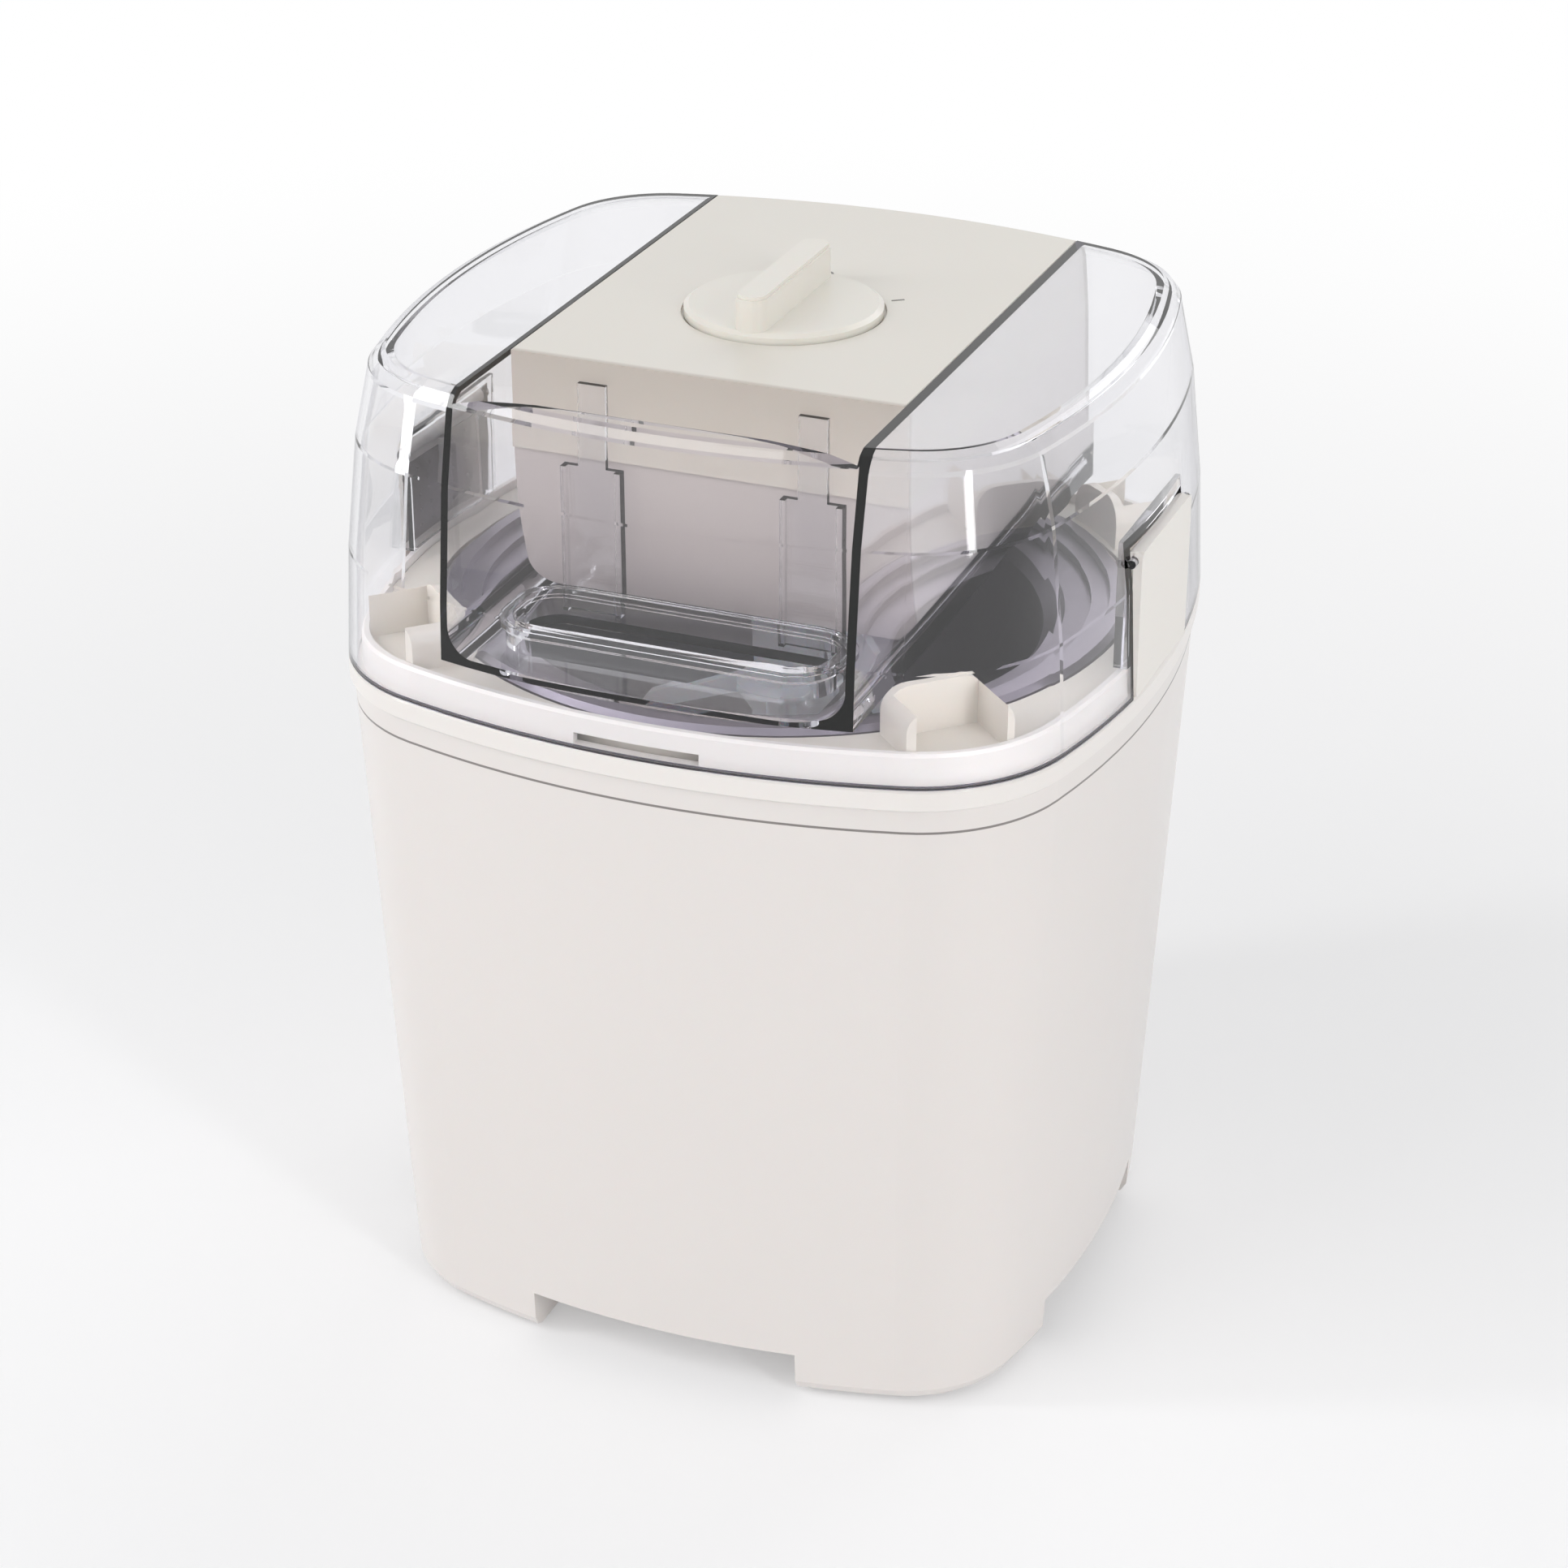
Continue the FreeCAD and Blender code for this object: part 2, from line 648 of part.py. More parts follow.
def make_bowl_holder():
    body = new_body("bowl_holder_body")
    edge = "collar_inset + collar_wall + deck_gap"
    loft(body, [("deck_top - deck_thickness", edge), ("deck_top", edge)])
    top_out = "bowl_radius + bowl_clearance + holder_wall"
    low_out = "bowl_bottom_radius + bowl_clearance + holder_wall"
    under = "holder_floor_height - holder_wall"
    turned(body, [("0", under), (low_out + " - holder_corner", under),
                  (low_out, "holder_floor_height + holder_corner"),
                  (top_out, "deck_top - deck_thickness"), (top_out, "deck_top"), ("0", "deck_top")])
    top_in = "bowl_radius + bowl_clearance"
    low_in = "bowl_bottom_radius + bowl_clearance"
    turned(body, [("0", "holder_floor_height"), (low_in + " - holder_corner", "holder_floor_height"),
                  (low_in, "holder_floor_height + holder_corner"),
                  ("bowl_body_radius + bowl_clearance", "deck_top - holder_step_depth"),
                  (top_in, "deck_top - 0.75 * holder_step_depth"), (top_in, "deck_top + cut_over"),
                  ("0", "deck_top + cut_over")], cut=True)
    bosses = sketch_on(body, "XY_Plane", "holder_floor_height - holder_wall / 2")
    for sx in ("", "-"):
        for sy in ("", "-"):
            circle(bosses, sx + "boss_spacing", sy + "boss_spacing", "boss_radius")
    pad(body, bosses, "holder_floor_height - holder_wall / 2 - floor_top", reverse=True)
    holes = sketch_on(body, "XY_Plane", "floor_top - cut_over")
    for sx in ("", "-"):
        for sy in ("", "-"):
            circle(holes, sx + "boss_spacing", sy + "boss_spacing", "screw_radius")
    pocket(body, holes, "cut_over + screw_tip_room * base_screw_grip", reverse=True)
    guides = []
    inside = "bowl_radius + bowl_clearance + guide_gap"
    for step in range(2):
        face = sketch_on(body, "XZ_Plane")
        face.AttachmentOffset = FreeCAD.Placement(Vector(0, 0, 0), FreeCAD.Rotation(Vector(0, 1, 0), 45))
        start = f"{inside} - guide_wall" if step == 0 else f"{inside} + guide_wall"
        bind(face, "AttachmentOffset.Base.z", f"({start}) * cos(45)")
        bind(face, "AttachmentOffset.Base.x", f"({start}) * sin(45)")
        if step == 0:
            tongue(face, "guide_width / 2", "deck_top - deck_thickness / 2", "deck_top + guide_height",
                   "guide_round")
            guides.append(pad(body, face, "guide_reach + guide_wall"))
        else:
            tongue(face, "guide_width / 2 - guide_wall", "deck_top", "deck_top + 2 * guide_height",
                   "guide_round / 4")
            guides.append(pocket(body, face, "guide_reach + guide_wall + cut_over", reverse=True))
    around(body, guides, "4")
    above = "deck_top + guide_height + cut_over"
    turned(body, [("0", "deck_top"), (inside, "deck_top"), (inside, above), ("0", above)], cut=True)
    beyond = sketch_on(body, "XY_Plane", "deck_top - deck_thickness")
    outline(beyond, edge)
    outline(beyond, "-guide_reach")
    pocket(body, beyond, "guide_height + deck_thickness + cut_over", reverse=True)
    return node("bowl_holder", body)


def screw(name, x, y, head_low, head_high, tip):
    """Add an upright screw; the tip lies above or below the head."""
    middle = f"({head_low} + {head_high}) / 2"
    upward = val(tip) > val(head_high)
    ends = (middle, tip) if upward else (tip, middle)
    shank = cylinder(name + "_shank", x, y, *ends, "screw_radius")
    head = cylinder(name + "_head", x, y, head_low, head_high, "screw_head_radius")
    return fuse(name, [shank, head])


def make_base_trim():
    pads = []
    screws = []
    for i, (sx, sy) in enumerate((("", ""), ("-", ""), ("-", "-"), ("", "-"))):
        pads.append(cylinder(f"foot_pad_{i}", sx + "foot_pad_spacing", sy + "foot_pad_along", "0",
                             "foot_pad_height", "foot_pad_radius"))
        screws.append(screw(f"base_screw_{i}", sx + "boss_spacing", sy + "boss_spacing",
                            "foot_roof - screw_head_height", "foot_roof", "floor_top + base_screw_grip"))
    node("foot_pads", gather("foot_pads_group", pads))
    node("base_screws", gather("base_screws_group", screws))


# ------------------------------------------------------------------ the bowl
STEP_IN = "bowl_radius - rim_step"
FLANGE_LOW = "bowl_rim_height - 2 * rim_step_drop - flange_thickness"


def make_bowl():
    liner = new_body("bowl_liner_body")
    lip = "bowl_mouth_radius"
    floor, rnd, low = "cavity_floor_height", "cavity_round", "cavity_bottom_radius"
    rim = "bowl_rim_height"
    inside = [("bowl_radius - bowl_edge", rim), (STEP_IN, rim), (STEP_IN, rim + " - rim_step_drop"),
              (STEP_IN + " - rim_step", rim + " - rim_step_drop"),
              (STEP_IN + " - rim_step", rim + " - 2 * rim_step_drop"),
              (lip + " + 0.75 * mouth_blend", rim + " - 2 * rim_step_drop - 0.15 * mouth_blend"),
              (lip, rim + " - 2 * rim_step_drop - mouth_blend"),
              (low, f"{floor} + {rnd}"), (f"{low} - 0.13 * {rnd}", f"{floor} + 0.5 * {rnd}"),
              (f"{low} - 0.5 * {rnd}", f"{floor} + 0.13 * {rnd}"), (f"{low} - {rnd}", floor), ("0", floor)]
    wall = "bowl_wall"
    outside = [("0", f"{floor} - {wall}"), (f"{low} - {rnd}", f"{floor} - {wall}"),
               (f"{low} - 0.5 * {rnd} + 0.5 * {wall}", f"{floor} + 0.13 * {rnd} - 0.85 * {wall}"),
               (f"{low} - 0.13 * {rnd} + 0.85 * {wall}", f"{floor} + 0.5 * {rnd} - 0.5 * {wall}"),
               (f"{low} + {wall}", f"{floor} + {rnd}"),
               (f"{lip} + {wall}", f"{FLANGE_LOW} - 0.75 * mouth_blend"),
               (f"{lip} + {wall} + 0.75 * mouth_blend", FLANGE_LOW), ("bowl_radius", FLANGE_LOW),
               ("bowl_radius", rim + " - bowl_edge")]
    turned(liner, inside + outside)
    node("bowl_liner", liner)

    seal = new_body("bowl_seal_body")
    seal_low = f"{FLANGE_LOW} - bowl_seal_height"
    seal_in, seal_out = "bowl_body_radius - seal_width", "bowl_body_radius + seal_bulge"
    turned(seal, [(seal_in, seal_low), (seal_out, seal_low), (seal_out, FLANGE_LOW), (seal_in, FLANGE_LOW)])
    node("bowl_seal", seal)

    jacket = new_body("bowl_jacket_body")
    foot = "holder_floor_height"
    skin = "jacket_wall"
    turned(jacket, [("0", foot), ("bowl_bottom_radius - bowl_corner", foot),
                    ("bowl_bottom_radius - 0.25 * bowl_corner", f"{foot} + 0.3 * bowl_corner"),
                    ("bowl_bottom_radius", f"{foot} + bowl_corner"),
                    ("bowl_body_radius", f"{seal_low} - jacket_lip_depth"), ("bowl_body_radius", seal_low),
                    ("bowl_body_radius - jacket_lip", seal_low),
                    ("bowl_body_radius - jacket_lip", f"{seal_low} - {skin}"),
                    (f"bowl_body_radius - {skin}", f"{seal_low} - 2 * {skin}"),
                    (f"bowl_body_radius - {skin}", f"{seal_low} - jacket_lip_depth"),
                    (f"bowl_bottom_radius - {skin}", f"{foot} + bowl_corner"),
                    ("bowl_bottom_radius - bowl_corner", f"{foot} + {skin}"), ("0", f"{foot} + {skin}")])
    node("bowl_jacket", jacket)

    coolant = new_body("bowl_coolant_body")
    fill = f"{seal_low} - coolant_drop"
    gap = "coolant_gap"
    turned(coolant, [("0", f"{foot} + {skin} + {gap}"),
                     (f"bowl_bottom_radius - bowl_corner - 2 * {gap}", f"{foot} + {skin} + {gap}"),
                     (f"bowl_bottom_radius - {skin} - 2 * {gap}", f"{foot} + bowl_corner + 2 * {gap}"),
                     (f"bowl_body_radius - {skin} - 7 * {gap}", fill),
                     (f"{lip} + 2 * {wall} + 2 * {gap}", fill),
                     (f"{low} + 2 * {wall} + {gap}", f"{floor} + {rnd}"),
                     (f"{low} - 0.1 * {rnd} + {wall}", f"{floor} + 0.4 * {rnd} - {wall}"),
                     (f"{low} - 0.5 * {rnd}", f"{floor} - {wall} - 1.5 * {gap}"),
                     ("0", f"{floor} - {wall} - 1.5 * {gap}")])
    node("bowl_coolant", coolant)


# ------------------------------------------------------------------- the lid
def lid_body(name, low, extra, top):
    """Return a solid of the lid's outside, moved in by extra."""
    body = new_body(name)
    sections = [(low, extra), ("shoulder_height + 0.36 * lid_height", f"lid_low_inset + {extra}"),
                ("shoulder_height + 0.72 * lid_height", f"0.42 * lid_top_inset + {extra}"),
                (f"({top}) - lid_edge", f"lid_top_inset - 0.65 * lid_edge + {extra}"),
                (f"({top}) - 0.3 * lid_edge", f"lid_top_inset - 0.1 * lid_edge + {extra}"),
                (top, f"lid_top_inset + 0.55 * lid_edge + {extra}")]
    loft(body, sections)
    return body


def plan_block(name, extra, z_low, z_high):
    """Return an upright block with the feed opening's plan, grown by extra."""
    body = new_body(name)
    plan = sketch_on(body, "XY_Plane", z_low)
    rounded(plan, f"-(feed_half_width + {extra})", f"feed_half_width + {extra}",
            f"-(feed_edge + feed_depth + {extra})", f"-(feed_edge - ({extra}))", f"feed_corner + {extra}")
    pad(body, plan, f"{z_high} - ({z_low})")
    return body


def make_unit_arms():
    """Return the two spring arms that stand in front of the drive unit."""
    arms = []
    rear = "-(unit_front + arm_gap)"
    front = "-(unit_front + arm_gap + arm_thickness)"
    ribbed = "-(unit_front + arm_gap + arm_rib)"
    for i, sign in enumerate(("", "-")):
        middle = sign + "arm_spacing"
        for part, width, top in (("bracket", "arm_bracket_width", "arm_bracket_height"),
                                 ("tab", "arm_tab_width", "arm_tab_height")):
            arms.append(box(f"arm_{part}_{i}", f"{middle} - {width} / 2", f"{middle} + {width} / 2", front,
                            rear, "channel_base + lid_wall / 2", f"channel_top + {top}"))
        for j, edge in enumerate((f"{middle} - arm_bracket_width / 2",
                                  f"{middle} + arm_bracket_width / 2 - arm_thickness")):
            arms.append(box(f"arm_rib_{i}_{j}", edge, f"{edge} + arm_thickness", ribbed, rear,
                            "channel_base + lid_wall / 2", "channel_top + arm_bracket_height"))
    return arms


LATCH_FACE = "rim_half_width - latch_pivot_inset - latch_barrel_radius - latch_recess_gap"


def make_lid():
    outer = lid_body("lid_outside", "shoulder_height", "0", "lid_top")
    far = "rim_half_depth + cut_far"
    wide = "rim_half_width + cut_far"
    below = "shoulder_height - cut_over"
    inner = lid_body("lid_inside", below, "lid_wall", "lid_top - lid_wall")
    side = "channel_half_width + lid_wall"
    hollows = []
    for i, sign in enumerate(("", "-")):
        spans = (side, wide) if i == 0 else (f"-({wide})", f"-({side})")
        room = box(f"lobe_room_{i}", *spans, f"-({far})", far, below, "lid_top")
        hollows.append(common(f"lobe_hollow_{i}", [inner, room]))
    under = box("channel_under_room", f"-({side})", side, f"-({far})", far, below, "channel_base")
    hollows.append(common("channel_under", [inner, under]))
    trough = new_body("channel_trough")
    section = sketch_on(trough, "XZ_Plane")
    rounded(section, "-channel_half_width", "channel_half_width", "channel_top", "lid_top + cut_far",
            "channel_corner")
    pad(trough, section, "4 * rim_half_depth", middle=True)
    over = "lid_top + cut_over"
    front = box("trough_front_room", f"-({side})", side, f"-({far})", "0", "channel_base", over)
    tall = lid_body("lid_inside_tall", below, "lid_wall", "lid_top")
    reach = common("trough_front_part", [trough, tall, front])
    rear_room = box("trough_rear_room", f"-({side})", side, "-cut_over", far, "channel_base", over)
    rear = common("trough_rear_part", [trough, rear_room])
    mouth = box("trough_mouth", "-channel_half_width", "channel_half_width",
                "-(rim_half_depth - lid_top_inset - lid_wall - mouth_drop)", "0",
                "lid_top - lid_wall - mouth_drop", over)
    feed = plan_block("feed_hole", "0", "channel_base - cut_over", "channel_top + feed_rim_height + cut_over")
    drive = cylinder("lid_shaft_hole", "0", "0", "channel_base - cut_over", "channel_top + cut_over",
                     "shaft_hole_radius")
    body = cut("lid_hollowed", outer, hollows + [reach, rear, mouth, drive])
    rim_top = "channel_top + feed_rim_height"
    bead_low = rim_top + " - feed_bead_height"
    added = [plan_block("feed_wall", "feed_rim_wall", "channel_base + lid_wall / 2", rim_top),
             plan_block("feed_bead", "feed_bead_width", bead_low + " + feed_bead_edge",
                        rim_top + " - feed_bead_edge"),
             plan_block("feed_bead_core", "feed_bead_width - feed_bead_edge", bead_low, rim_top)]
    added += make_unit_arms()
    removed = [feed]
    half = "latch_width / 2 + latch_side_gap"
    top = "shoulder_height + latch_pivot_height + sqrt(2) * latch_barrel_radius + latch_recess_gap"
    foot = "collar_top + latch_seat_gap"
    pin_start = "-(latch_width / 2 + latch_side_gap + latch_pin_socket)"
    pin_length = "latch_width + 2 * latch_side_gap + 2 * latch_pin_socket"
    pins = []
    for i in range(2):
        skin = f"{LATCH_FACE} - lid_wall"
        frame = "rim_half_width - latch_frame_depth"
        skirt = "rim_half_width - latch_skirt_depth"
        seat = (skin, LATCH_FACE) if i == 0 else (f"-({LATCH_FACE})", f"-({skin})")
        space = (LATCH_FACE, wide) if i == 0 else (f"-({wide})", f"-({LATCH_FACE})")
        edges = (skin, frame) if i == 0 else (f"-({frame})", f"-({skin})")
        notch = (skirt, wide) if i == 0 else (f"-({wide})", f"-({skirt})")
        sides = (f"-({half} + lid_wall)", f"{half} + lid_wall")
        added.append(box(f"latch_seat_{i}", *seat, *sides, foot, f"{top} + lid_wall"))
        added.append(common(f"latch_frame_{i}", [outer, box(f"latch_frame_box_{i}", *edges, *sides, foot,
                                                            f"{top} + lid_wall")]))
        removed.append(box(f"latch_space_{i}", *space, f"-({half})", half, foot, top))
        removed.append(box(f"latch_notch_{i}", *notch, f"-({half})", half, below, foot + " + cut_over / 10"))
        pivot = "rim_half_width - latch_pivot_inset" if i == 0 else "-(rim_half_width - latch_pivot_inset)"
        pins.append(rod(f"latch_pin_{i}", "y", pivot, pin_start, "shoulder_height + latch_pivot_height",
                        pin_length, "latch_pin_radius"))
    body = fuse("lid_with_seats", [body] + added)
    node("lid_shell", cut("lid_shell_solid", body, removed + pins))
    node("latch_pins", gather("latch_pins_group", pins))


def make_latch(name, right):
    body = new_body(name + "_body")
    pivot = "rim_half_width - latch_pivot_inset"
    inner = f"{pivot} - 0.05 * latch_thickness"
    if not right:
        pivot, inner = f"-({pivot})", f"-({inner})"
    face = sketch_on(body, "YZ_Plane", inner)
    top = "shoulder_height + latch_pivot_height + latch_barrel_radius"
    low = "shoulder_height + latch_foot_gap"
    rounded(face, "-latch_width / 2", "latch_width / 2", low, top, "latch_round")
    pad(body, face, "latch_thickness", reverse=not right)
    hub = sketch_on(body, "XZ_Plane")
    circle(hub, pivot, "shoulder_height + latch_pivot_height", "latch_barrel_radius")
    pad(body, hub, "latch_width - latch_round", middle=True)
    bar = sketch_on(body, "XY_Plane", "collar_top + latch_bar_low")
    circle(bar, pivot, "0", "latch_bar_radius")
    pad(body, bar, "latch_pivot_height - collar_height - latch_bar_room")
    hole = sketch_on(body, "XZ_Plane")
    circle(hole, pivot, "shoulder_height + latch_pivot_height", "latch_pin_radius + latch_pin_gap")
    pocket(body, hole, "2 * latch_width", middle=True)
    node(name, body)


# -------------------------------------------------------------- the drive unit
POSTS = [("-post_half_width", "-post_front"), ("post_half_width", "-post_front"),
         ("post_half_width", "post_rear"), ("-post_half_width", "post_rear")]
CASE_SIDE = "(unit_half - unit_wall - case_screw_side)"
CASE_SCREWS = [("-" + CASE_SIDE, "-case_screw_front"), (CASE_SIDE, "-case_screw_front"),
               (CASE_SIDE, "case_screw_rear"), ("-" + CASE_SIDE, "case_screw_rear")]
BUSH_TOP = "unit_base + unit_floor + bush_stand"
AXLE_FOOT = "unit_base + recess_depth + floor_skin"
GLAND_Z = "channel_top + gland_height"


def make_drive_case():
    far = "rim_half_width + cut_far"
    back = "rim_half_depth + cut_far"
    under = "unit_base - cut_over"
    over = "lid_top + cut_over"
    whole = unit_block("unit_outside", "0", "unit_base")
    hollow = unit_block("unit_inside", "unit_wall", "unit_base + unit_floor")
    clip = box("clip_slot", "-clip_width / 2", "clip_width / 2", "clip_place - clip_depth", "clip_place",
               under, "unit_base + recess_depth")
    shell = cut("unit_shell", whole, [hollow, underside_recess(), clip])
    lower = box("unit_lower_room", f"-({far})", far, f"-({back})", back, under, "split_height")
    upper = box("unit_upper_room", f"-({far})", far, f"-({back})", back, "split_height", over)
    make_case_below(common("unit_case_part", [shell, lower]), whole, under)
    make_cover(common("unit_cover_part", [shell, upper]), over)
    screws = []
    seat = "unit_base + case_screw_depth"
    for i, (x, y) in enumerate(CASE_SCREWS):
        screws.append(screw(f"case_screw_{i}", x, y, f"{seat} - screw_head_height", seat,
                            "split_height + case_screw_grip"))
    node("case_screws", gather("case_screws_group", screws))


def make_case_below(case, whole, under):
    """Finish the lower half: bearing, plate posts and screw columns."""
    over = "split_height + cut_over"
    bearing = cylinder("case_bearing", "0", "0", "unit_base", BUSH_TOP, "bush_radius + unit_wall")
    posts = [cylinder(f"case_post_{i}", x, y, AXLE_FOOT, "plate_low", "post_radius")
             for i, (x, y) in enumerate(POSTS)]
    columns = [cylinder(f"case_column_{i}", x, y, "unit_base", "split_height", "case_screw_post")
               for i, (x, y) in enumerate(CASE_SCREWS)]
    columns = fuse("case_columns", columns)
    case = fuse("unit_case_boss", [case, bearing, common("case_columns_inside", [columns, whole])] + posts)
    tools = [cylinder("case_bore", "0", "0", under, BUSH_TOP + " + cut_over", "bush_radius")]
    x_second, y_second, x_first, y_first, x_motor, y_motor = AXLES
    for i, (x, y) in enumerate(((x_first, y_first), (x_second, y_second))):
        tools.append(cylinder(f"case_axle_hole_{i}", x, y, AXLE_FOOT, "gear_base", "axle_radius"))
    for i, (x, y) in enumerate(POSTS):
        tools.append(cylinder(f"post_hole_{i}", x, y, "motor_low - screw_length", "motor_low",
                              "screw_radius"))
    for i, (x, y) in enumerate(CASE_SCREWS):
        tools.append(cylinder(f"column_hole_{i}", x, y, under, over, "screw_radius + screw_hole_gap"))
        tools.append(cylinder(f"column_head_hole_{i}", x, y, under, "unit_base + case_screw_depth",
                              "screw_head_radius + screw_hole_gap"))
    node("drive_case", cut("drive_case_solid", case, tools))


def make_cover(cover, over):
    """Finish the upper half: knob well, cable seat and screw bosses."""
    bosses = [cylinder(f"cover_boss_{i}", x, y, "split_height", "split_height + case_screw_grip + boss_cap",
                       "case_screw_post") for i, (x, y) in enumerate(CASE_SCREWS)]
    tools = [cylinder("knob_well", "0", "0", "lid_top - knob_well_depth", over,
                      "knob_radius + knob_well_gap"),
             cylinder("knob_spindle_hole", "0", "0", "lid_top - cut_far / 2", over,
                      "knob_spindle_radius + knob_well_gap / 2"),
             rod("gland_hole", "y", "0", "rim_half_depth - cut_far", GLAND_Z, "2 * cut_far",
                 "gland_radius - gland_neck"),
             rod("gland_seat", "y", "0", "rim_half_depth - gland_seat_depth", GLAND_Z, "2 * cut_far",
                 "gland_radius + running_gap")]
    tools += [cylinder(f"boss_hole_{i}", x, y, "split_height - cut_over", "split_height + case_screw_grip",
                       "screw_radius") for i, (x, y) in enumerate(CASE_SCREWS)]
    node("drive_cover", cut("drive_cover_solid", fuse("unit_cover_bossed", [cover] + bosses), tools))


def unit_block(name, wall, floor):
    """Return the drive unit's outside, or its inside a wall further in.

    The front leans back below the split, along an arc that meets it upright.
    """
    over = "lid_top + cut_over"
    form = lid_body(name + "_form", "shoulder_height", f"unit_rear_inset + {wall}", f"lid_top - {wall}")
    section_body = new_body(name + "_section")
    section = sketch_on(section_body, "XZ_Plane")
    rounded(section, f"-(unit_half - {wall})", f"unit_half - {wall}", floor, "lid_top + cut_far",
            f"channel_corner - unit_gap - {wall}")
    pad(section_body, section, "4 * rim_half_depth", middle=True)
    room = box(name + "_room", f"-(unit_half - {wall})", f"unit_half - {wall}", f"-(unit_front - {wall})",
               "rim_half_depth + cut_far", floor, over)
    block = common(name + "_block", [form, section_body, room])
    roll = rod(name + "_nose_roll", "x", "-rim_half_width", "nose_radius + unit_step - unit_front",
               "split_height", "2 * rim_half_width", f"nose_radius - {wall}")
    front = box(name + "_nose_room", "-rim_half_width", "rim_half_width", "-(unit_front + cut_over)",
                "-(unit_front - unit_nose - 2 * unit_wall - cut_over)", "unit_base - cut_over",
                "split_height")
    return cut(name + "_nosed", block, [cut(name + "_nose", front, [roll])])


def underside_recess():
    """Return the shallow hollow under the case, round its horseshoe ridge."""
    body = new_body("underside_recess")
    plan = sketch_on(body, "XY_Plane", "unit_base - cut_over")
    half = "unit_half - channel_corner - recess_edge / 2"
    rounded(plan, f"-({half})", half, "-(unit_front - unit_nose - recess_edge)",
            "clip_place - clip_depth - recess_edge", "recess_edge")
    horseshoe(plan, "ridge_outer - ridge_width", "ridge_outer", "ridge_length")
    pad(body, plan, "recess_depth + cut_over")
    return body


def horseshoe(sketch, inner, outer, length):
    """Draw a band round the front of the Z axis, with two legs to the rear."""
    arcs = []
    for radius in (outer, inner):
        whole = Part.Circle(Vector(0, 0, 0), Vector(0, 0, 1), val(radius))
        arcs.append(sketch.addGeometry(Part.ArcOfCircle(whole, math.pi, 2 * math.pi), False))
        place(sketch, arcs[-1], 3, "0", "0")
        dimension(sketch, Sketcher.Constraint("Radius", arcs[-1], val(radius)), radius)
    reach = val(length)
    for side, end in ((-1, 1), (1, 2)):
        legs = []
        for radius, arc in ((outer, arcs[0]), (inner, arcs[1])):
            x = side * val(radius)
            leg = sketch.addGeometry(Part.LineSegment(Vector(x, 0, 0), Vector(x, reach, 0)), False)
            sketch.addConstraint(Sketcher.Constraint("Coincident", leg, 1, arc, end))
            sketch.addConstraint(Sketcher.Constraint("Vertical", leg))
            sketch.addConstraint(Sketcher.Constraint("PointOnObject", leg, 1, -1))
            dimension(sketch, Sketcher.Constraint("DistanceY", -1, 1, leg, 2, reach), length)
            legs.append(leg)
        cap = sketch.addGeometry(Part.LineSegment(Vector(side * val(outer), reach, 0),
                                                  Vector(side * val(inner), reach, 0)), False)
        sketch.addConstraint(Sketcher.Constraint("Coincident", cap, 1, legs[0], 2))
        sketch.addConstraint(Sketcher.Constraint("Coincident", cap, 2, legs[1], 2))


AXLES = ("output_distance * cos(direction_second)", "output_distance * sin(direction_second)",
         "output_distance * cos(direction_second) + second_distance * cos(direction_first)",
         "output_distance * sin(direction_second) + second_distance * sin(direction_first)",
         "output_distance * cos(direction_second) + second_distance * cos(direction_first)"
         " + first_distance * cos(direction_motor)",
         "output_distance * sin(direction_second) + second_distance * sin(direction_first)"
         " + first_distance * sin(direction_motor)")


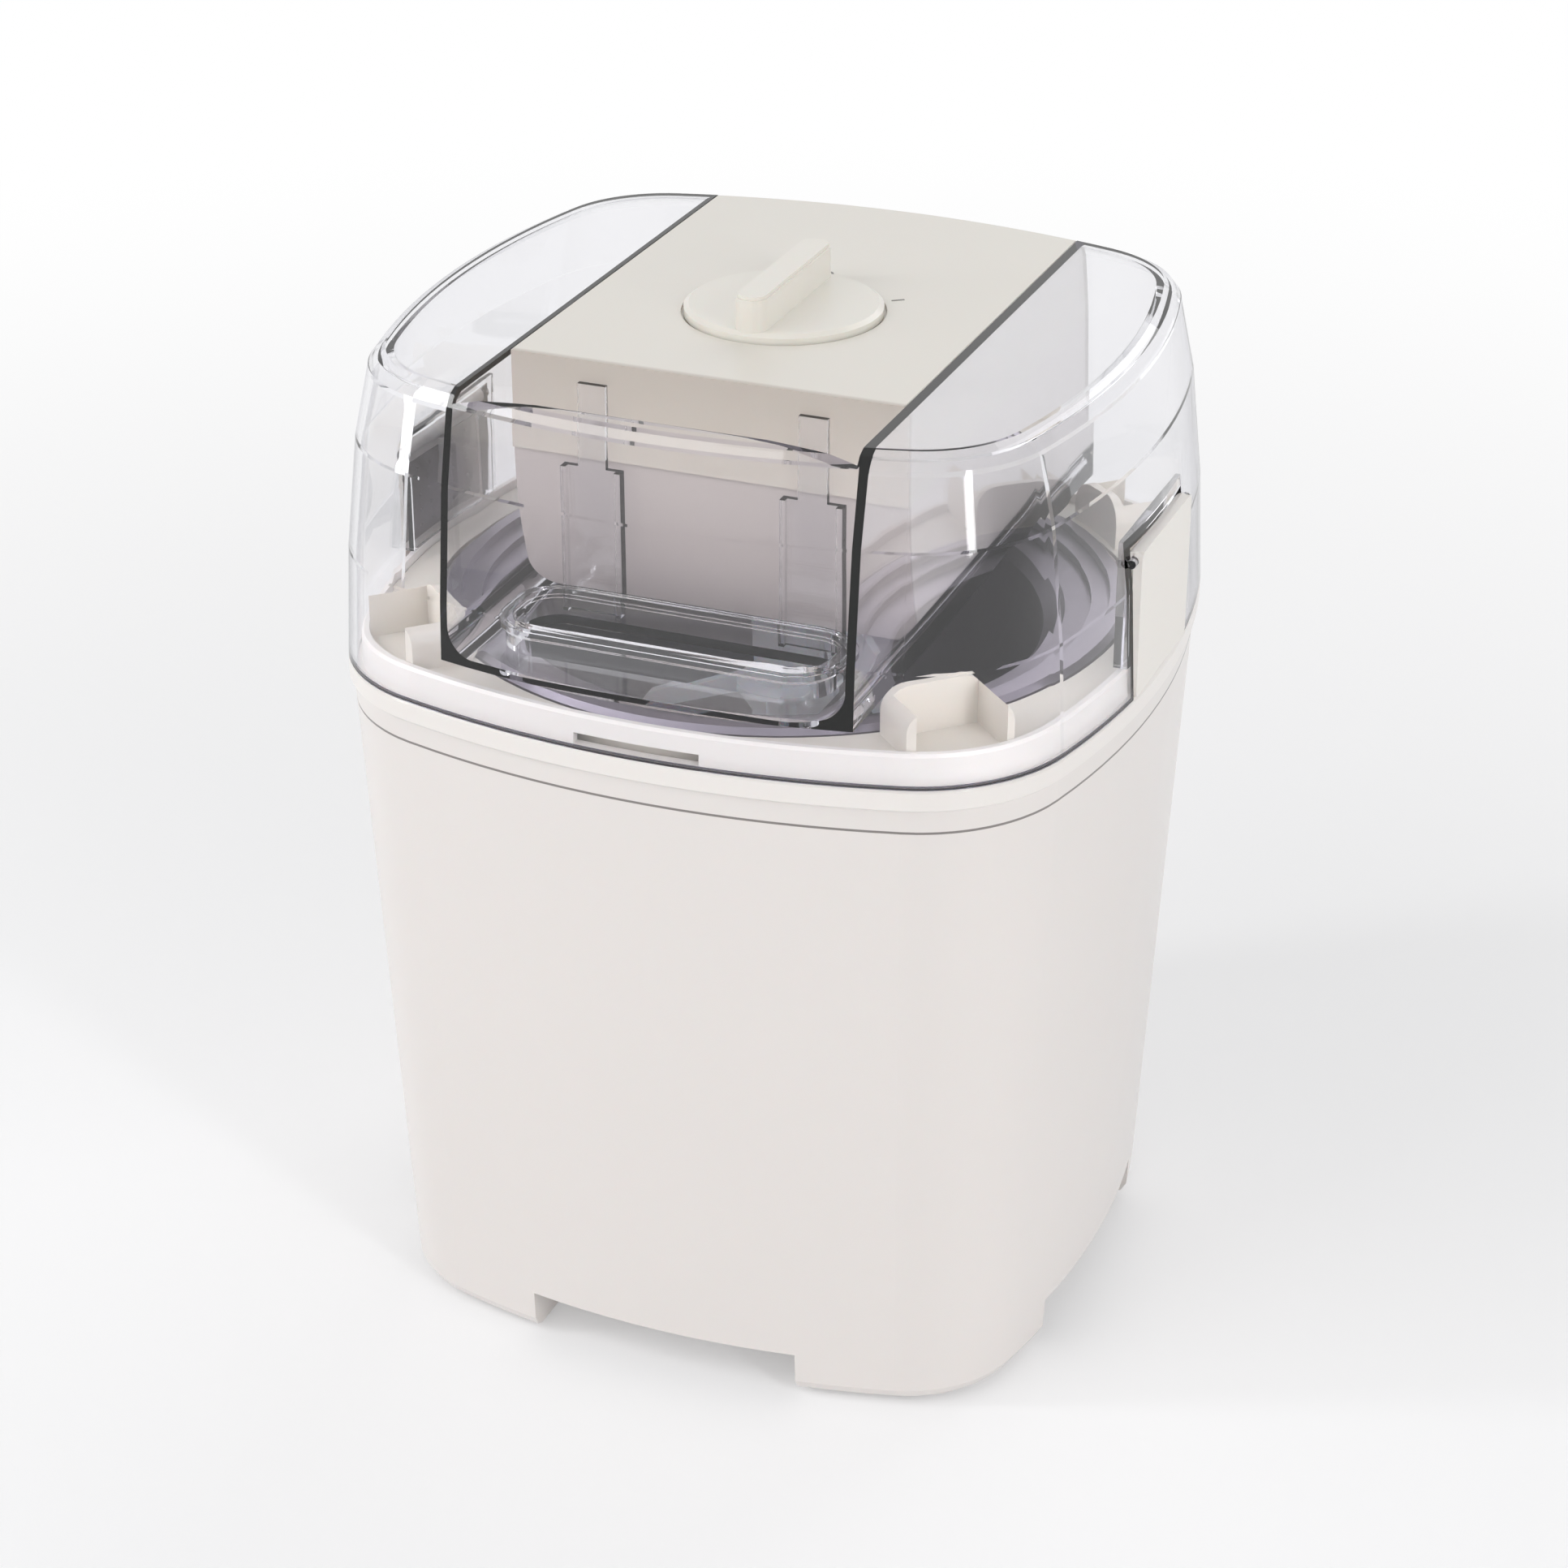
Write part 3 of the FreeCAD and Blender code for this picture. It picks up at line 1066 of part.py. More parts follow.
def make_drive_parts():
    x_second, y_second, x_first, y_first, x_motor, y_motor = AXLES
    bush = cylinder("bush_outside", "0", "0", "unit_base", BUSH_TOP, "bush_radius")
    bush_bore = cylinder("bush_bore", "0", "0", "unit_base - cut_over", BUSH_TOP + " + cut_over",
                         "shaft_radius + running_gap")
    node("shaft_bush", cut("shaft_bush_solid", bush, [bush_bore]))

    axles = [cylinder("axle_second", x_second, y_second, AXLE_FOOT, "motor_low", "axle_radius"),
             cylinder("axle_first", x_first, y_first, AXLE_FOOT, "motor_low", "axle_radius")]
    node("gear_axles", gather("gear_axles_group", axles))

    sheet_metal = new_body("gear_plate_body")
    face = sketch_on(sheet_metal, "XY_Plane", "plate_low")
    rounded(face, "-(post_half_width + post_radius)", "post_half_width + post_radius",
            "-(post_front + post_radius)", "post_rear + post_radius", "post_radius")
    pad(sheet_metal, face, "plate_thickness")
    holes = sketch_on(sheet_metal, "XY_Plane", "motor_low")
    circle(holes, x_second, y_second, "axle_radius")
    circle(holes, x_first, y_first, "axle_radius")
    circle(holes, x_motor, y_motor, "motor_shaft_radius + motor_cap")
    for x, y in POSTS:
        circle(holes, x, y, "screw_radius")
    pocket(sheet_metal, holes, "2 * plate_thickness")
    node("gear_plate", sheet_metal)

    screws = []
    for i, (x, y) in enumerate(POSTS):
        screws.append(screw(f"plate_screw_{i}", x, y, "motor_low", "motor_low + screw_head_height",
                            "motor_low - screw_length"))
    node("plate_screws", gather("plate_screws_group", screws))

    motor = new_body("motor_body")
    crown = "motor_low + motor_height"
    boss = "motor_shaft_radius + motor_boss"
    turned(motor, [("0", crown), (boss, crown), (boss, crown + " - motor_cap"),
                   ("motor_radius - motor_cap", crown + " - motor_cap"),
                   ("motor_radius", crown + " - 2 * motor_cap"), ("motor_radius", "motor_low"),
                   ("0", "motor_low")])
    inside = "motor_shaft_radius + running_gap"
    under = "motor_low - cut_over"
    depth = "motor_low + motor_stem + cut_over"
    turned(motor, [("0", under), (inside, under), (inside, depth), ("0", depth)], cut=True)
    bind(motor, "Placement.Base.x", x_motor)
    bind(motor, "Placement.Base.y", y_motor)
    node("motor", motor)

    switch = new_body("rotary_switch_body")
    high = "lid_top - unit_wall"
    inside, low = "knob_spindle_radius + running_gap", f"{high} - switch_height"
    turned(switch, [(inside, high), ("switch_radius", high), ("switch_radius", low + " + switch_edge"),
                    ("switch_radius - switch_edge", low), (inside, low)])
    node("rotary_switch", switch)

    gland = new_body("cable_gland_body")
    ring = sketch_on(gland, "XZ_Plane", "-(rim_half_depth - gland_seat_depth - gland_length)")
    circle(ring, "0", GLAND_Z, "gland_radius - gland_neck - running_gap")
    circle(ring, "0", GLAND_Z, "gland_bore")
    pad(gland, ring, "gland_length + gland_collar / 2", reverse=True)
    collar = sketch_on(gland, "XZ_Plane", "-(rim_half_depth - gland_seat_depth)")
    circle(collar, "0", GLAND_Z, "gland_radius")
    circle(collar, "0", GLAND_Z, "gland_bore")
    pad(gland, collar, "gland_collar", reverse=True)
    node("cable_gland", gland)


def toothed(body, teeth, low):
    """Add a spur gear: a round blank with one gap cut out and repeated."""
    pitch = f"({teeth} * gear_module / 2)"
    tip = f"({pitch} + gear_addendum * gear_module)"
    root = f"({pitch} - gear_dedendum * gear_module)"
    blank = sketch_on(body, "XY_Plane", low)
    circle(blank, "0", "0", tip)
    pad(body, blank, "gear_thickness")
    middle = f"(90 / {teeth} + gear_backlash / (4 * {pitch}) * 180 / pi)"
    unroll = "(tan(pressure_angle) * 180 / pi - pressure_angle)"
    ratio = f"({pitch} * cos(pressure_angle) / ({tip} + tooth_over))"
    flare = f"(tan(acos({ratio})) * 180 / pi - acos({ratio}) / 1deg)"
    outer_half = f"({middle} - {unroll} + {flare})"
    root_half = f"({middle} - {unroll})"
    gap = sketch_on(body, "XY_Plane", low)
    flank = [(root, root_half), (pitch, middle), (f"({tip} + tooth_over)", outer_half)]
    points = [(f"{r} * cos({a})", f"{r} * sin({a})") for r, a in flank]
    points += [(f"{r} * cos({a})", f"-({r} * sin({a}))") for r, a in reversed(flank)]
    polygon(gap, points)
    first = pocket(body, gap, "gear_thickness", reverse=True)
    around(body, [first], teeth)


def bore(body, radius):
    hole = sketch_on(body, "XY_Plane", "0")
    circle(hole, "0", "0", radius)
    pocket(body, hole, "lid_top", reverse=True)


def set_on_axle(body, x, y, phase):
    body.Placement = FreeCAD.Placement(Vector(0, 0, 0), FreeCAD.Rotation(Vector(0, 0, 1), 10))
    bind(body, "Placement.Base.x", x)
    bind(body, "Placement.Base.y", y)
    bind(body, "Placement.Rotation.Angle", phase)


def make_gears():
    x_second, y_second, x_first, y_first, x_motor, y_motor = AXLES
    output = new_body("output_gear_body")
    toothed(output, "output_teeth", "gear_base")
    bore(output, "shaft_radius")
    node("output_gear", output)

    second = new_body("second_gear_body")
    toothed(second, "pinion_teeth", "gear_base")
    hub = sketch_on(second, "XY_Plane", "gear_base + gear_thickness")
    circle(hub, "0", "0", "axle_hub_radius")
    pad(second, hub, "gear_layer - gear_thickness")
    toothed(second, "second_teeth", "gear_base + gear_layer")
    bore(second, "axle_radius + running_gap")
    set_on_axle(second, x_second, y_second, "second_phase")
    node("second_gear", second)

    first = new_body("first_gear_body")
    toothed(first, "pinion_teeth", "gear_base + gear_layer")
    hub = sketch_on(first, "XY_Plane", "gear_base + gear_layer + gear_thickness")
    circle(hub, "0", "0", "axle_hub_radius")
    pad(first, hub, "gear_layer - gear_thickness")
    toothed(first, "first_teeth", "gear_base + 2 * gear_layer")
    bore(first, "axle_radius + running_gap")
    set_on_axle(first, x_first, y_first, "first_phase")
    node("first_gear", first)

    pinion = new_body("motor_pinion_body")
    toothed(pinion, "pinion_teeth", "gear_base + 2 * gear_layer")
    stem = sketch_on(pinion, "XY_Plane", "gear_base + 2 * gear_layer + gear_thickness")
    circle(stem, "0", "0", "motor_shaft_radius")
    pad(pinion, stem, "gear_layer - gear_thickness + plate_thickness + motor_stem")
    set_on_axle(pinion, x_motor, y_motor, "motor_phase")
    node("motor_pinion", pinion)


def make_shaft():
    shaft = new_body("drive_shaft_body")
    low = "unit_base - shaft_drop"
    turned(shaft, [("0", low), ("shaft_radius - shaft_edge", low), ("shaft_radius", low + " + shaft_edge"),
                   ("shaft_radius", "gear_base + gear_thickness"), ("0", "gear_base + gear_thickness")])
    flats = sketch_on(shaft, "XY_Plane", low + " - cut_over")
    far = "shaft_radius + cut_over"
    for sign in ("", "-"):
        polygon(flats, [(f"-({far})", f"{sign}shaft_flat"), (far, f"{sign}shaft_flat"),
                        (far, f"{sign}({far})"), (f"-({far})", f"{sign}({far})")])
    pocket(shaft, flats, f"socket_top - ({low}) + cut_over", reverse=True)
    node("drive_shaft", shaft)
    ring = new_body("shaft_ring_body")
    foot, top = "socket_top + 2 * shaft_ring_gap", "unit_base - shaft_ring_gap"
    turned(ring, [("shaft_radius", foot), ("shaft_ring_radius - shaft_ring_edge", foot),
                  ("shaft_ring_radius", foot + " + shaft_ring_edge"), ("shaft_ring_radius", top),
                  ("shaft_radius", top)])
    node("shaft_ring", ring)


def make_paddle():
    body = new_body("paddle_body")
    low, high = "paddle_low", "socket_top"
    edge = "paddle_flange_edge"
    boss_top = f"{low} + paddle_boss_height"
    turned(body, [("0", low), ("paddle_boss_radius", low), ("paddle_boss_radius", boss_top),
                  ("paddle_rod_radius", f"{boss_top} + 2 * {edge}"),
                  ("paddle_rod_radius", f"socket_low - 4 * {edge}"),
                  ("paddle_flange_radius", f"socket_low - 3 * {edge}"),
                  ("paddle_flange_radius", "socket_low"),
                  ("paddle_socket_radius", f"socket_low + {edge}"), ("paddle_socket_radius", high),
                  ("0", high)])
    wide, toe, bar = "paddle_reach", "paddle_toe", "paddle_bar"
    knee = f"{low} + paddle_knee"
    tip = f"{knee} + paddle_tip"
    wing = f"{knee} + paddle_wing"
    fin_top = f"{high} - paddle_thickness / 2"
    right = sketch_on(body, "XZ_Plane")
    polygon(right, [("0", low), (toe, low), (wide, knee), (wide, tip),
                    ("paddle_socket_radius + paddle_fin_side", fin_top), ("0", fin_top)])
    pad(body, right, "paddle_thickness", middle=True)
    left = sketch_on(body, "XZ_Plane")
    polygon(left, [("0", low), ("0", "socket_low"), ("-paddle_flange_radius", "socket_low"),
                   (f"-0.6 * {wide}", wing), (f"-{wide}", tip), (f"-{wide}", knee), ("-" + toe, low)])
    pad(body, left, "paddle_thickness", middle=True)
    near = "paddle_boss_radius + paddle_window_gap"
    web = f"{boss_top} + paddle_web"
    rail = f"paddle_flange_radius + {bar} / 3"
    windows = sketch_on(body, "XZ_Plane")
    for sign in ("", "-"):
        polygon(windows, [(f"{sign}({near})", f"{low} + {bar}"),
                          (f"{sign}({toe} - 0.45 * {bar})", f"{low} + {bar}"),
                          (f"{sign}({wide} - 1.3 * {bar})", f"{knee} + 0.2 * {bar}"),
                          (f"{sign}({wide} - 2.6 * {bar})", f"{knee} + 0.9 * {bar}"),
                          (f"{sign}({near})", web)])
    polygon(windows, [(near, f"{web} + {bar}"), (f"{wide} - 2.1 * {bar}", f"{tip} + {bar}"),
                      (f"paddle_socket_radius + paddle_fin_side + {bar} / 3", f"{fin_top} - 3 * {bar}"),
                      (rail, f"{fin_top} - 3.6 * {bar}"), (rail, f"socket_low - 5 * {edge}"),
                      (near, f"socket_low - 2 * {bar}")])
    polygon(windows, [(f"-({near})", f"{web} + {bar}"), (f"-({wide} - 2.1 * {bar})", f"{tip} + 0.8 * {bar}"),
                      (f"-(0.6 * {wide} - {bar})", f"{wing} - {bar} / 2"),
                      ("-paddle_flange_radius", f"socket_low - 7 * {edge}"),
                      (f"-({near})", f"socket_low - 2 * {bar}")])
    pocket(body, windows, "2 * paddle_thickness", middle=True)
    socket = sketch_on(body, "XY_Plane", f"socket_low - {edge} / 2")
    flat = "(shaft_flat + paddle_fit_gap)"
    round_side = f"sqrt((shaft_radius + paddle_fit_gap)^2 - {flat}^2)"
    slot(socket, round_side, flat, "shaft_radius + paddle_fit_gap")
    pocket(body, socket, "paddle_socket_height + 2 * cut_over", reverse=True)
    node("paddle", body)


def slot(sketch, corner_x, corner_y, radius):
    """Draw a circle's middle part between two flats, round the Z axis."""
    x, y, r = val(corner_x), val(corner_y), val(radius)
    turn = math.atan2(y, x)
    whole = Part.Circle(Vector(0, 0, 0), Vector(0, 0, 1), r)
    right = sketch.addGeometry(Part.ArcOfCircle(whole, -turn, turn), False)
    top = sketch.addGeometry(Part.LineSegment(Vector(x, y, 0), Vector(-x, y, 0)), False)
    left = sketch.addGeometry(Part.ArcOfCircle(whole, math.pi - turn, math.pi + turn), False)
    low = sketch.addGeometry(Part.LineSegment(Vector(-x, -y, 0), Vector(x, -y, 0)), False)
    ring = [right, top, left, low]
    for i in range(4):
        sketch.addConstraint(Sketcher.Constraint("Coincident", ring[i], 2, ring[(i + 1) % 4], 1))
    place(sketch, right, 3, "0", "0")
    place(sketch, left, 3, "0", "0")
    dimension(sketch, Sketcher.Constraint("Radius", right, r), radius)
    dimension(sketch, Sketcher.Constraint("Radius", left, r), radius)
    for item, text in ((top, corner_y), (low, f"-({corner_y})")):
        dimension(sketch, Sketcher.Constraint("DistanceY", -1, 1, item, 1, val(text)), text)
        sketch.addConstraint(Sketcher.Constraint("Horizontal", item))


def make_knob():
    body = new_body("knob_body")
    low = "lid_top - knob_gap"
    disc = f"{low} + knob_disc_height"
    turned(body, [("0", low), ("knob_radius", low), ("knob_radius", f"{disc} - knob_edge"),
                  ("knob_radius - 1.5 * knob_edge", disc), ("0", disc)])
    for depth, z_low, z_high in (("0", f"{disc} - knob_edge / 2", f"{disc} + knob_grip_height - knob_edge"),
                                 ("0.7 * knob_edge", disc, f"{disc} + knob_grip_height")):
        grip = sketch_on(body, "XY_Plane", z_low)
        half, reach = f"knob_grip_width / 2 - {depth}", f"knob_radius - knob_edge - {depth}"
        rounded(grip, f"-({half})", half, f"-({reach})", reach, f"{half} - 0.7 * knob_edge")
        pad(body, grip, f"{z_high} - ({z_low})")
    spindle = sketch_on(body, "XY_Plane", low)
    circle(spindle, "0", "0", "knob_spindle_radius")
    pad(body, spindle, "unit_wall + switch_height - knob_gap", reverse=True)
    node("knob", body)


def check_and_write():
    """Stop if anything failed, then write one STEP file per node."""
    doc.recompute()
    for thing in doc.Objects:
        if "Invalid" in thing.State or "Error" in thing.State:
            raise RuntimeError(f"{thing.Name} failed: {thing.State}")
    os.makedirs("parts", exist_ok=True)
    for name, thing in NODES.items():
        if thing.Shape.isNull() or not thing.Shape.isValid() or not thing.Shape.Solids:
            raise RuntimeError(f"{name} has no valid solid")
    for name, thing in NODES.items():
        thing.Shape.exportStep(os.path.join("parts", name + ".step"))


make_base_shell()
make_shoulder_ring()
make_bowl_holder()
make_base_trim()
make_bowl()
make_lid()
make_latch("latch_right", True)
make_latch("latch_left", False)
make_drive_case()
make_drive_parts()
make_gears()
make_shaft()
make_paddle()
make_knob()
check_and_write()
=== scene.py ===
import logging
import math
from dataclasses import dataclass, field
from enum import Enum

import bmesh
import bpy
from mathutils import Matrix, Vector


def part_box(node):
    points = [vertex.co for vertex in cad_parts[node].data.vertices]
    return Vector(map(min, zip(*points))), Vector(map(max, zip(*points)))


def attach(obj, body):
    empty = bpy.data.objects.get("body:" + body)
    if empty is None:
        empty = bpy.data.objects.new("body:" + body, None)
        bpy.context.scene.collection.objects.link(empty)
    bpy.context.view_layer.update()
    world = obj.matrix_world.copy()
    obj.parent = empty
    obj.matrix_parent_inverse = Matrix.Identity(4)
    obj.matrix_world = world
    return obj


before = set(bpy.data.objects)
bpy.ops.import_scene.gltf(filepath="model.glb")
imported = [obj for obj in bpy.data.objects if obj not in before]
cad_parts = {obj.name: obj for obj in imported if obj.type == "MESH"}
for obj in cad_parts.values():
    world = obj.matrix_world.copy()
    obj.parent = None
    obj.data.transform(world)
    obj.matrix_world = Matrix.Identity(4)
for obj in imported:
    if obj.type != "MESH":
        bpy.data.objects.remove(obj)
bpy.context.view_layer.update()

LOG = logging.getLogger("ice_cream_maker")
Colour = tuple[float, float, float]
Point = tuple[float, float, float]
Span = tuple[float, float]
Socket = bpy.types.NodeSocket

# Lengths are in metres. A pattern's scale is how often it repeats in one metre.
ORIGIN: Point = (0.0, 0.0, 0.0)
EVEN: Point = (1.0, 1.0, 1.0)
WHITE_LIGHT = (1.0, 1.0, 1.0, 1.0)
SHADOW_LINE_HALF = 0.00035
LATHE_WOBBLE = 0.6
FACING_BLEND = 0.5
HALF_UNIT = 0.5
ROUND_SIDES = 24
RING_STEPS = 90
ROUNDING_STEPS = 2
WELD = 1e-7
SORT_WAY = Vector((1.0, 0.61, 0.37))


# ------------------------------------------------------------------ materials
class Detail(Enum):
    """How many finer layers a noise pattern has."""

    SMOOTH = 2.0
    SOFT = 3.0
    FINE = 4.0
    FINEST = 5.0


@dataclass(frozen=True)
class PaintedShadeSide:
    """A side of a moulding that gets painted shade, told by its distance from a centre.

    The axes that count are 1 and the others 0. The painted shade sets in between start and end.
    """

    along: Point
    centre: Point
    start: float
    end: float


class Tree:
    """A material's node tree with short ways to add and join nodes."""

    def __init__(self, name: str) -> None:
        """Start a material with an empty Principled surface.

        Args:
            name: The material's name.
        """
        self.material = bpy.data.materials.new(name)
        self.material.use_nodes = True
        self.nodes = self.material.node_tree.nodes
        self.links = self.material.node_tree.links
        self.shader = self.nodes["Principled BSDF"]

    def add(self, kind: str, **values: object) -> bpy.types.Node:
        """Add a node and set its sockets or properties.

        Args:
            kind: The node's type, such as ShaderNodeTexNoise.
            **values: Socket names, with _ for a space, or properties.

        Returns:
            The new node.
        """
        node = self.nodes.new(kind)
        for name, value in values.items():
            socket = node.inputs.get(name.replace("_", " "))
            if socket is not None:
                socket.default_value = value
            else:
                setattr(node, name, value)
        return node

    def join(self, start: Socket, end: Socket) -> None:
        """Link one socket to another."""
        self.links.new(start, end)

    def set(self, **values: object) -> None:
        """Set constants on the Principled shader's own sockets."""
        for name, value in values.items():
            self.shader.inputs[name.replace("_", " ")].default_value = value

    def place(self, stretch: Point = EVEN, centre: Point = ORIGIN) -> Socket:
        """Return object coordinates about a centre, stretched along the axes.

        Args:
            stretch: Scale along each axis.
            centre: The point that becomes zero.

        Returns:
            The socket that carries the coordinates.
        """
        coords = self.add("ShaderNodeTexCoord")
        mapping = self.add("ShaderNodeMapping")
        mapping.inputs["Location"].default_value = [-c * s for c, s in zip(centre, stretch)]
        mapping.inputs["Scale"].default_value = stretch
        self.join(coords.outputs["Object"], mapping.inputs["Vector"])
        return mapping.outputs["Vector"]

    def noise(self, scale: float, detail: Detail, where: Socket) -> Socket:
        """Return the strength of a noise pattern.

        Args:
            scale: How fine the pattern is.
            detail: How many finer layers it has.
            where: The coordinates that it follows.

        Returns:
            The socket that carries 0 to 1.
        """
        node = self.add("ShaderNodeTexNoise", Scale=scale, Detail=detail.value)
        self.join(where, node.inputs["Vector"])
        return node.outputs["Fac"]

    def cells(self, scale: float, where: Socket) -> Socket:
        """Return a random shade for each small cell, as in metal flake.

        Args:
            scale: How fine the cells are.
            where: The coordinates that they follow.

        Returns:
            The socket that carries 0 to 1.
        """
        node = self.add("ShaderNodeTexVoronoi", Scale=scale)
        self.join(where, node.inputs["Vector"])
        grey = self.add("ShaderNodeSeparateColor")
        self.join(node.outputs["Color"], grey.inputs["Color"])
        return grey.outputs["Red"]

    def rings(self, scale: float, centre: Point) -> Socket:
        """Return lathe lines: circles about an upright axis.

        Args:
            scale: How close the lines are.
            centre: A point on the axis.

        Returns:
            The socket that carries 0 to 1.
        """
        node = self.add("ShaderNodeTexWave", wave_type="RINGS", rings_direction="Z",
                        Scale=scale, Distortion=LATHE_WOBBLE, Detail=Detail.SMOOTH.value)
        self.join(self.place(centre=centre), node.inputs["Vector"])
        return node.outputs["Fac"]

    def spread(self, value: Socket, low: float, high: float) -> Socket:
        """Map a pattern from 0..1 on to low..high.

        Args:
            value: The pattern.
            low: What 0 becomes.
            high: What 1 becomes.

        Returns:
            The socket that carries the new value.
        """
        node = self.add("ShaderNodeMapRange")
        node.inputs["To Min"].default_value = low
        node.inputs["To Max"].default_value = high
        self.join(value, node.inputs["Value"])
        return node.outputs["Result"]

    def rise(self, value: Socket, start: float, end: float = 1.0) -> Socket:
        """Return a soft rise from 0 to 1 as a value goes from start to end.

        Args:
            value: The value.
            start: Where the rise starts.
            end: Where it ends.

        Returns:
            The socket that carries the rise.
        """
        node = self.add("ShaderNodeMapRange", interpolation_type="SMOOTHSTEP")
        node.inputs["From Min"].default_value = start
        node.inputs["From Max"].default_value = end
        self.join(value, node.inputs["Value"])
        return node.outputs["Result"]

    def glance(self, start: float) -> Socket:
        """Return 0 face on, rising to 1 where the surface turns away past a start."""
        facing = self.add("ShaderNodeLayerWeight", Blend=FACING_BLEND)
        return self.rise(facing.outputs["Facing"], start)

    def reach(self, painted_shade: PaintedShadeSide) -> Socket:
        """Return 0 near the centre of a side with painted shade, rising to 1 on the side itself.

        Args:
            painted_shade: The side that gets painted shade.

        Returns:
            The socket that carries the rise.
        """
        far = self.add("ShaderNodeVectorMath", operation="LENGTH")
        self.join(self.place(painted_shade.along, painted_shade.centre), far.inputs[0])
        return self.rise(far.outputs["Value"], painted_shade.start, painted_shade.end)

    def seam(self, height: float) -> Socket:
        """Return 1 in a thin level line at a height, and 0 above and below it.

        Args:
            height: The height of the line's middle.

        Returns:
            The socket that carries 0 or 1.
        """
        apart = self.add("ShaderNodeSeparateXYZ")
        self.join(self.place(), apart.inputs["Vector"])
        near = self.add("ShaderNodeMath", operation="COMPARE")
        near.inputs[1].default_value = height
        near.inputs[2].default_value = SHADOW_LINE_HALF
        self.join(apart.outputs["Z"], near.inputs[0])
        return near.outputs["Value"]

    def colour(self, first: Colour, second: Colour, share: Socket) -> None:
        """Colour the surface between two colours by a pattern.

        Args:
            first: The colour where the pattern is 0.
            second: The colour where it is 1.
            share: The pattern.
        """
        mix = self.add("ShaderNodeMix", data_type="RGBA")
        mix.inputs["A"].default_value = (*first, 1.0)
        mix.inputs["B"].default_value = (*second, 1.0)
        self.join(share, mix.inputs["Factor"])
        self.join(mix.outputs["Result"], self.shader.inputs["Base Color"])

    def overlay(self, colour: Colour, share: Socket) -> None:
        """Lay a colour over the surface's own colour by a pattern.

        Args:
            colour: The colour on top.
            share: The pattern, 1 where only that colour shows.
        """
        own = self.shader.inputs["Base Color"]
        mix = self.add("ShaderNodeMix", data_type="RGBA")
        mix.inputs["B"].default_value = (*colour, 1.0)
        self.join(own.links[0].from_socket, mix.inputs["A"])
        self.join(share, mix.inputs["Factor"])
        self.join(mix.outputs["Result"], own)

    def rough(self, pattern: Socket, low: float, high: float) -> None:
        """Let a pattern move the roughness from low to high."""
        self.join(self.spread(pattern, low, high), self.shader.inputs["Roughness"])

    def bump(self, height: Socket, strength: float, distance: float) -> None:
        """Give the surface a bump from a height pattern.

        Args:
            height: The pattern.
            strength: How much of the bump shows, from 0 to 1.
            distance: How high the bump is.
        """
        node = self.add("ShaderNodeBump", Strength=strength, Distance=distance)
        self.join(height, node.inputs["Height"])
        self.join(node.outputs["Normal"], self.shader.inputs["Normal"])

    def mix_surface(self, share: Socket, other: Socket) -> None:
        """Mix the Principled surface with another one.

        Args:
            share: How much of the other surface shows, from 0 to 1.
            other: The other surface.
        """
        both = self.add("ShaderNodeMixShader")
        self.join(share, both.inputs[0])
        self.join(self.shader.outputs["BSDF"], both.inputs[1])
        self.join(other, both.inputs[2])
        self.join(both.outputs["Shader"], self.nodes["Material Output"].inputs["Surface"])


@dataclass(frozen=True)
class Moulded:
    """Injection-moulded plastic: fine texture, soft colour change, a coat.

    The height given for a line gets a thin painted shadow line round it, and the darker tone given for
    its sides is painted shade where they face away from the light.
    """

    name: str
    colour: Colour
    shade: Colour
    roughness: float
    coat: float
    scatter: float = 0.0
    seam: float | None = None
    painted_shade: Colour | None = None
    painted_shade_sides: tuple[PaintedShadeSide, ...] = ()
    shadow_line_colour: Colour = (0.22, 0.20, 0.19)
    shade_scale: float = 9.0
    gloss_scale: float = 70.0
    gloss_swing: float = 0.05
    coat_roughness: float = 0.1
    index: float = 1.5
    scatter_depth: float = 0.004
    grain_scale: float = 1400.0
    grain_strength: float = 0.2
    grain_depth: float = 0.00003

    def make(self) -> bpy.types.Material:
        """Build the material.

        Returns:
            The material.
        """
        tree = Tree(self.name)
        where = tree.place()
        tree.colour(self.colour, self.shade, tree.noise(self.shade_scale, Detail.SOFT, where))
        # Painted shade: a darker tone on the sides that face away from the light.
        for side in self.painted_shade_sides:
            tree.overlay(self.painted_shade, tree.reach(side))
        # Painted shadow: a thin dark line where an overhang above shades the surface.
        if self.seam is not None:
            tree.overlay(self.shadow_line_colour, tree.seam(self.seam))
        tree.rough(tree.noise(self.gloss_scale, Detail.FINE, where),
                   self.roughness - self.gloss_swing, self.roughness + self.gloss_swing)
        tree.set(Coat_Weight=self.coat, Coat_Roughness=self.coat_roughness, IOR=self.index)
        if self.scatter:
            tree.set(Subsurface_Weight=self.scatter, Subsurface_Scale=self.scatter_depth)
        grain = tree.noise(self.grain_scale, Detail.SMOOTH, where)
        tree.bump(grain, self.grain_strength, self.grain_depth)
        return tree.material


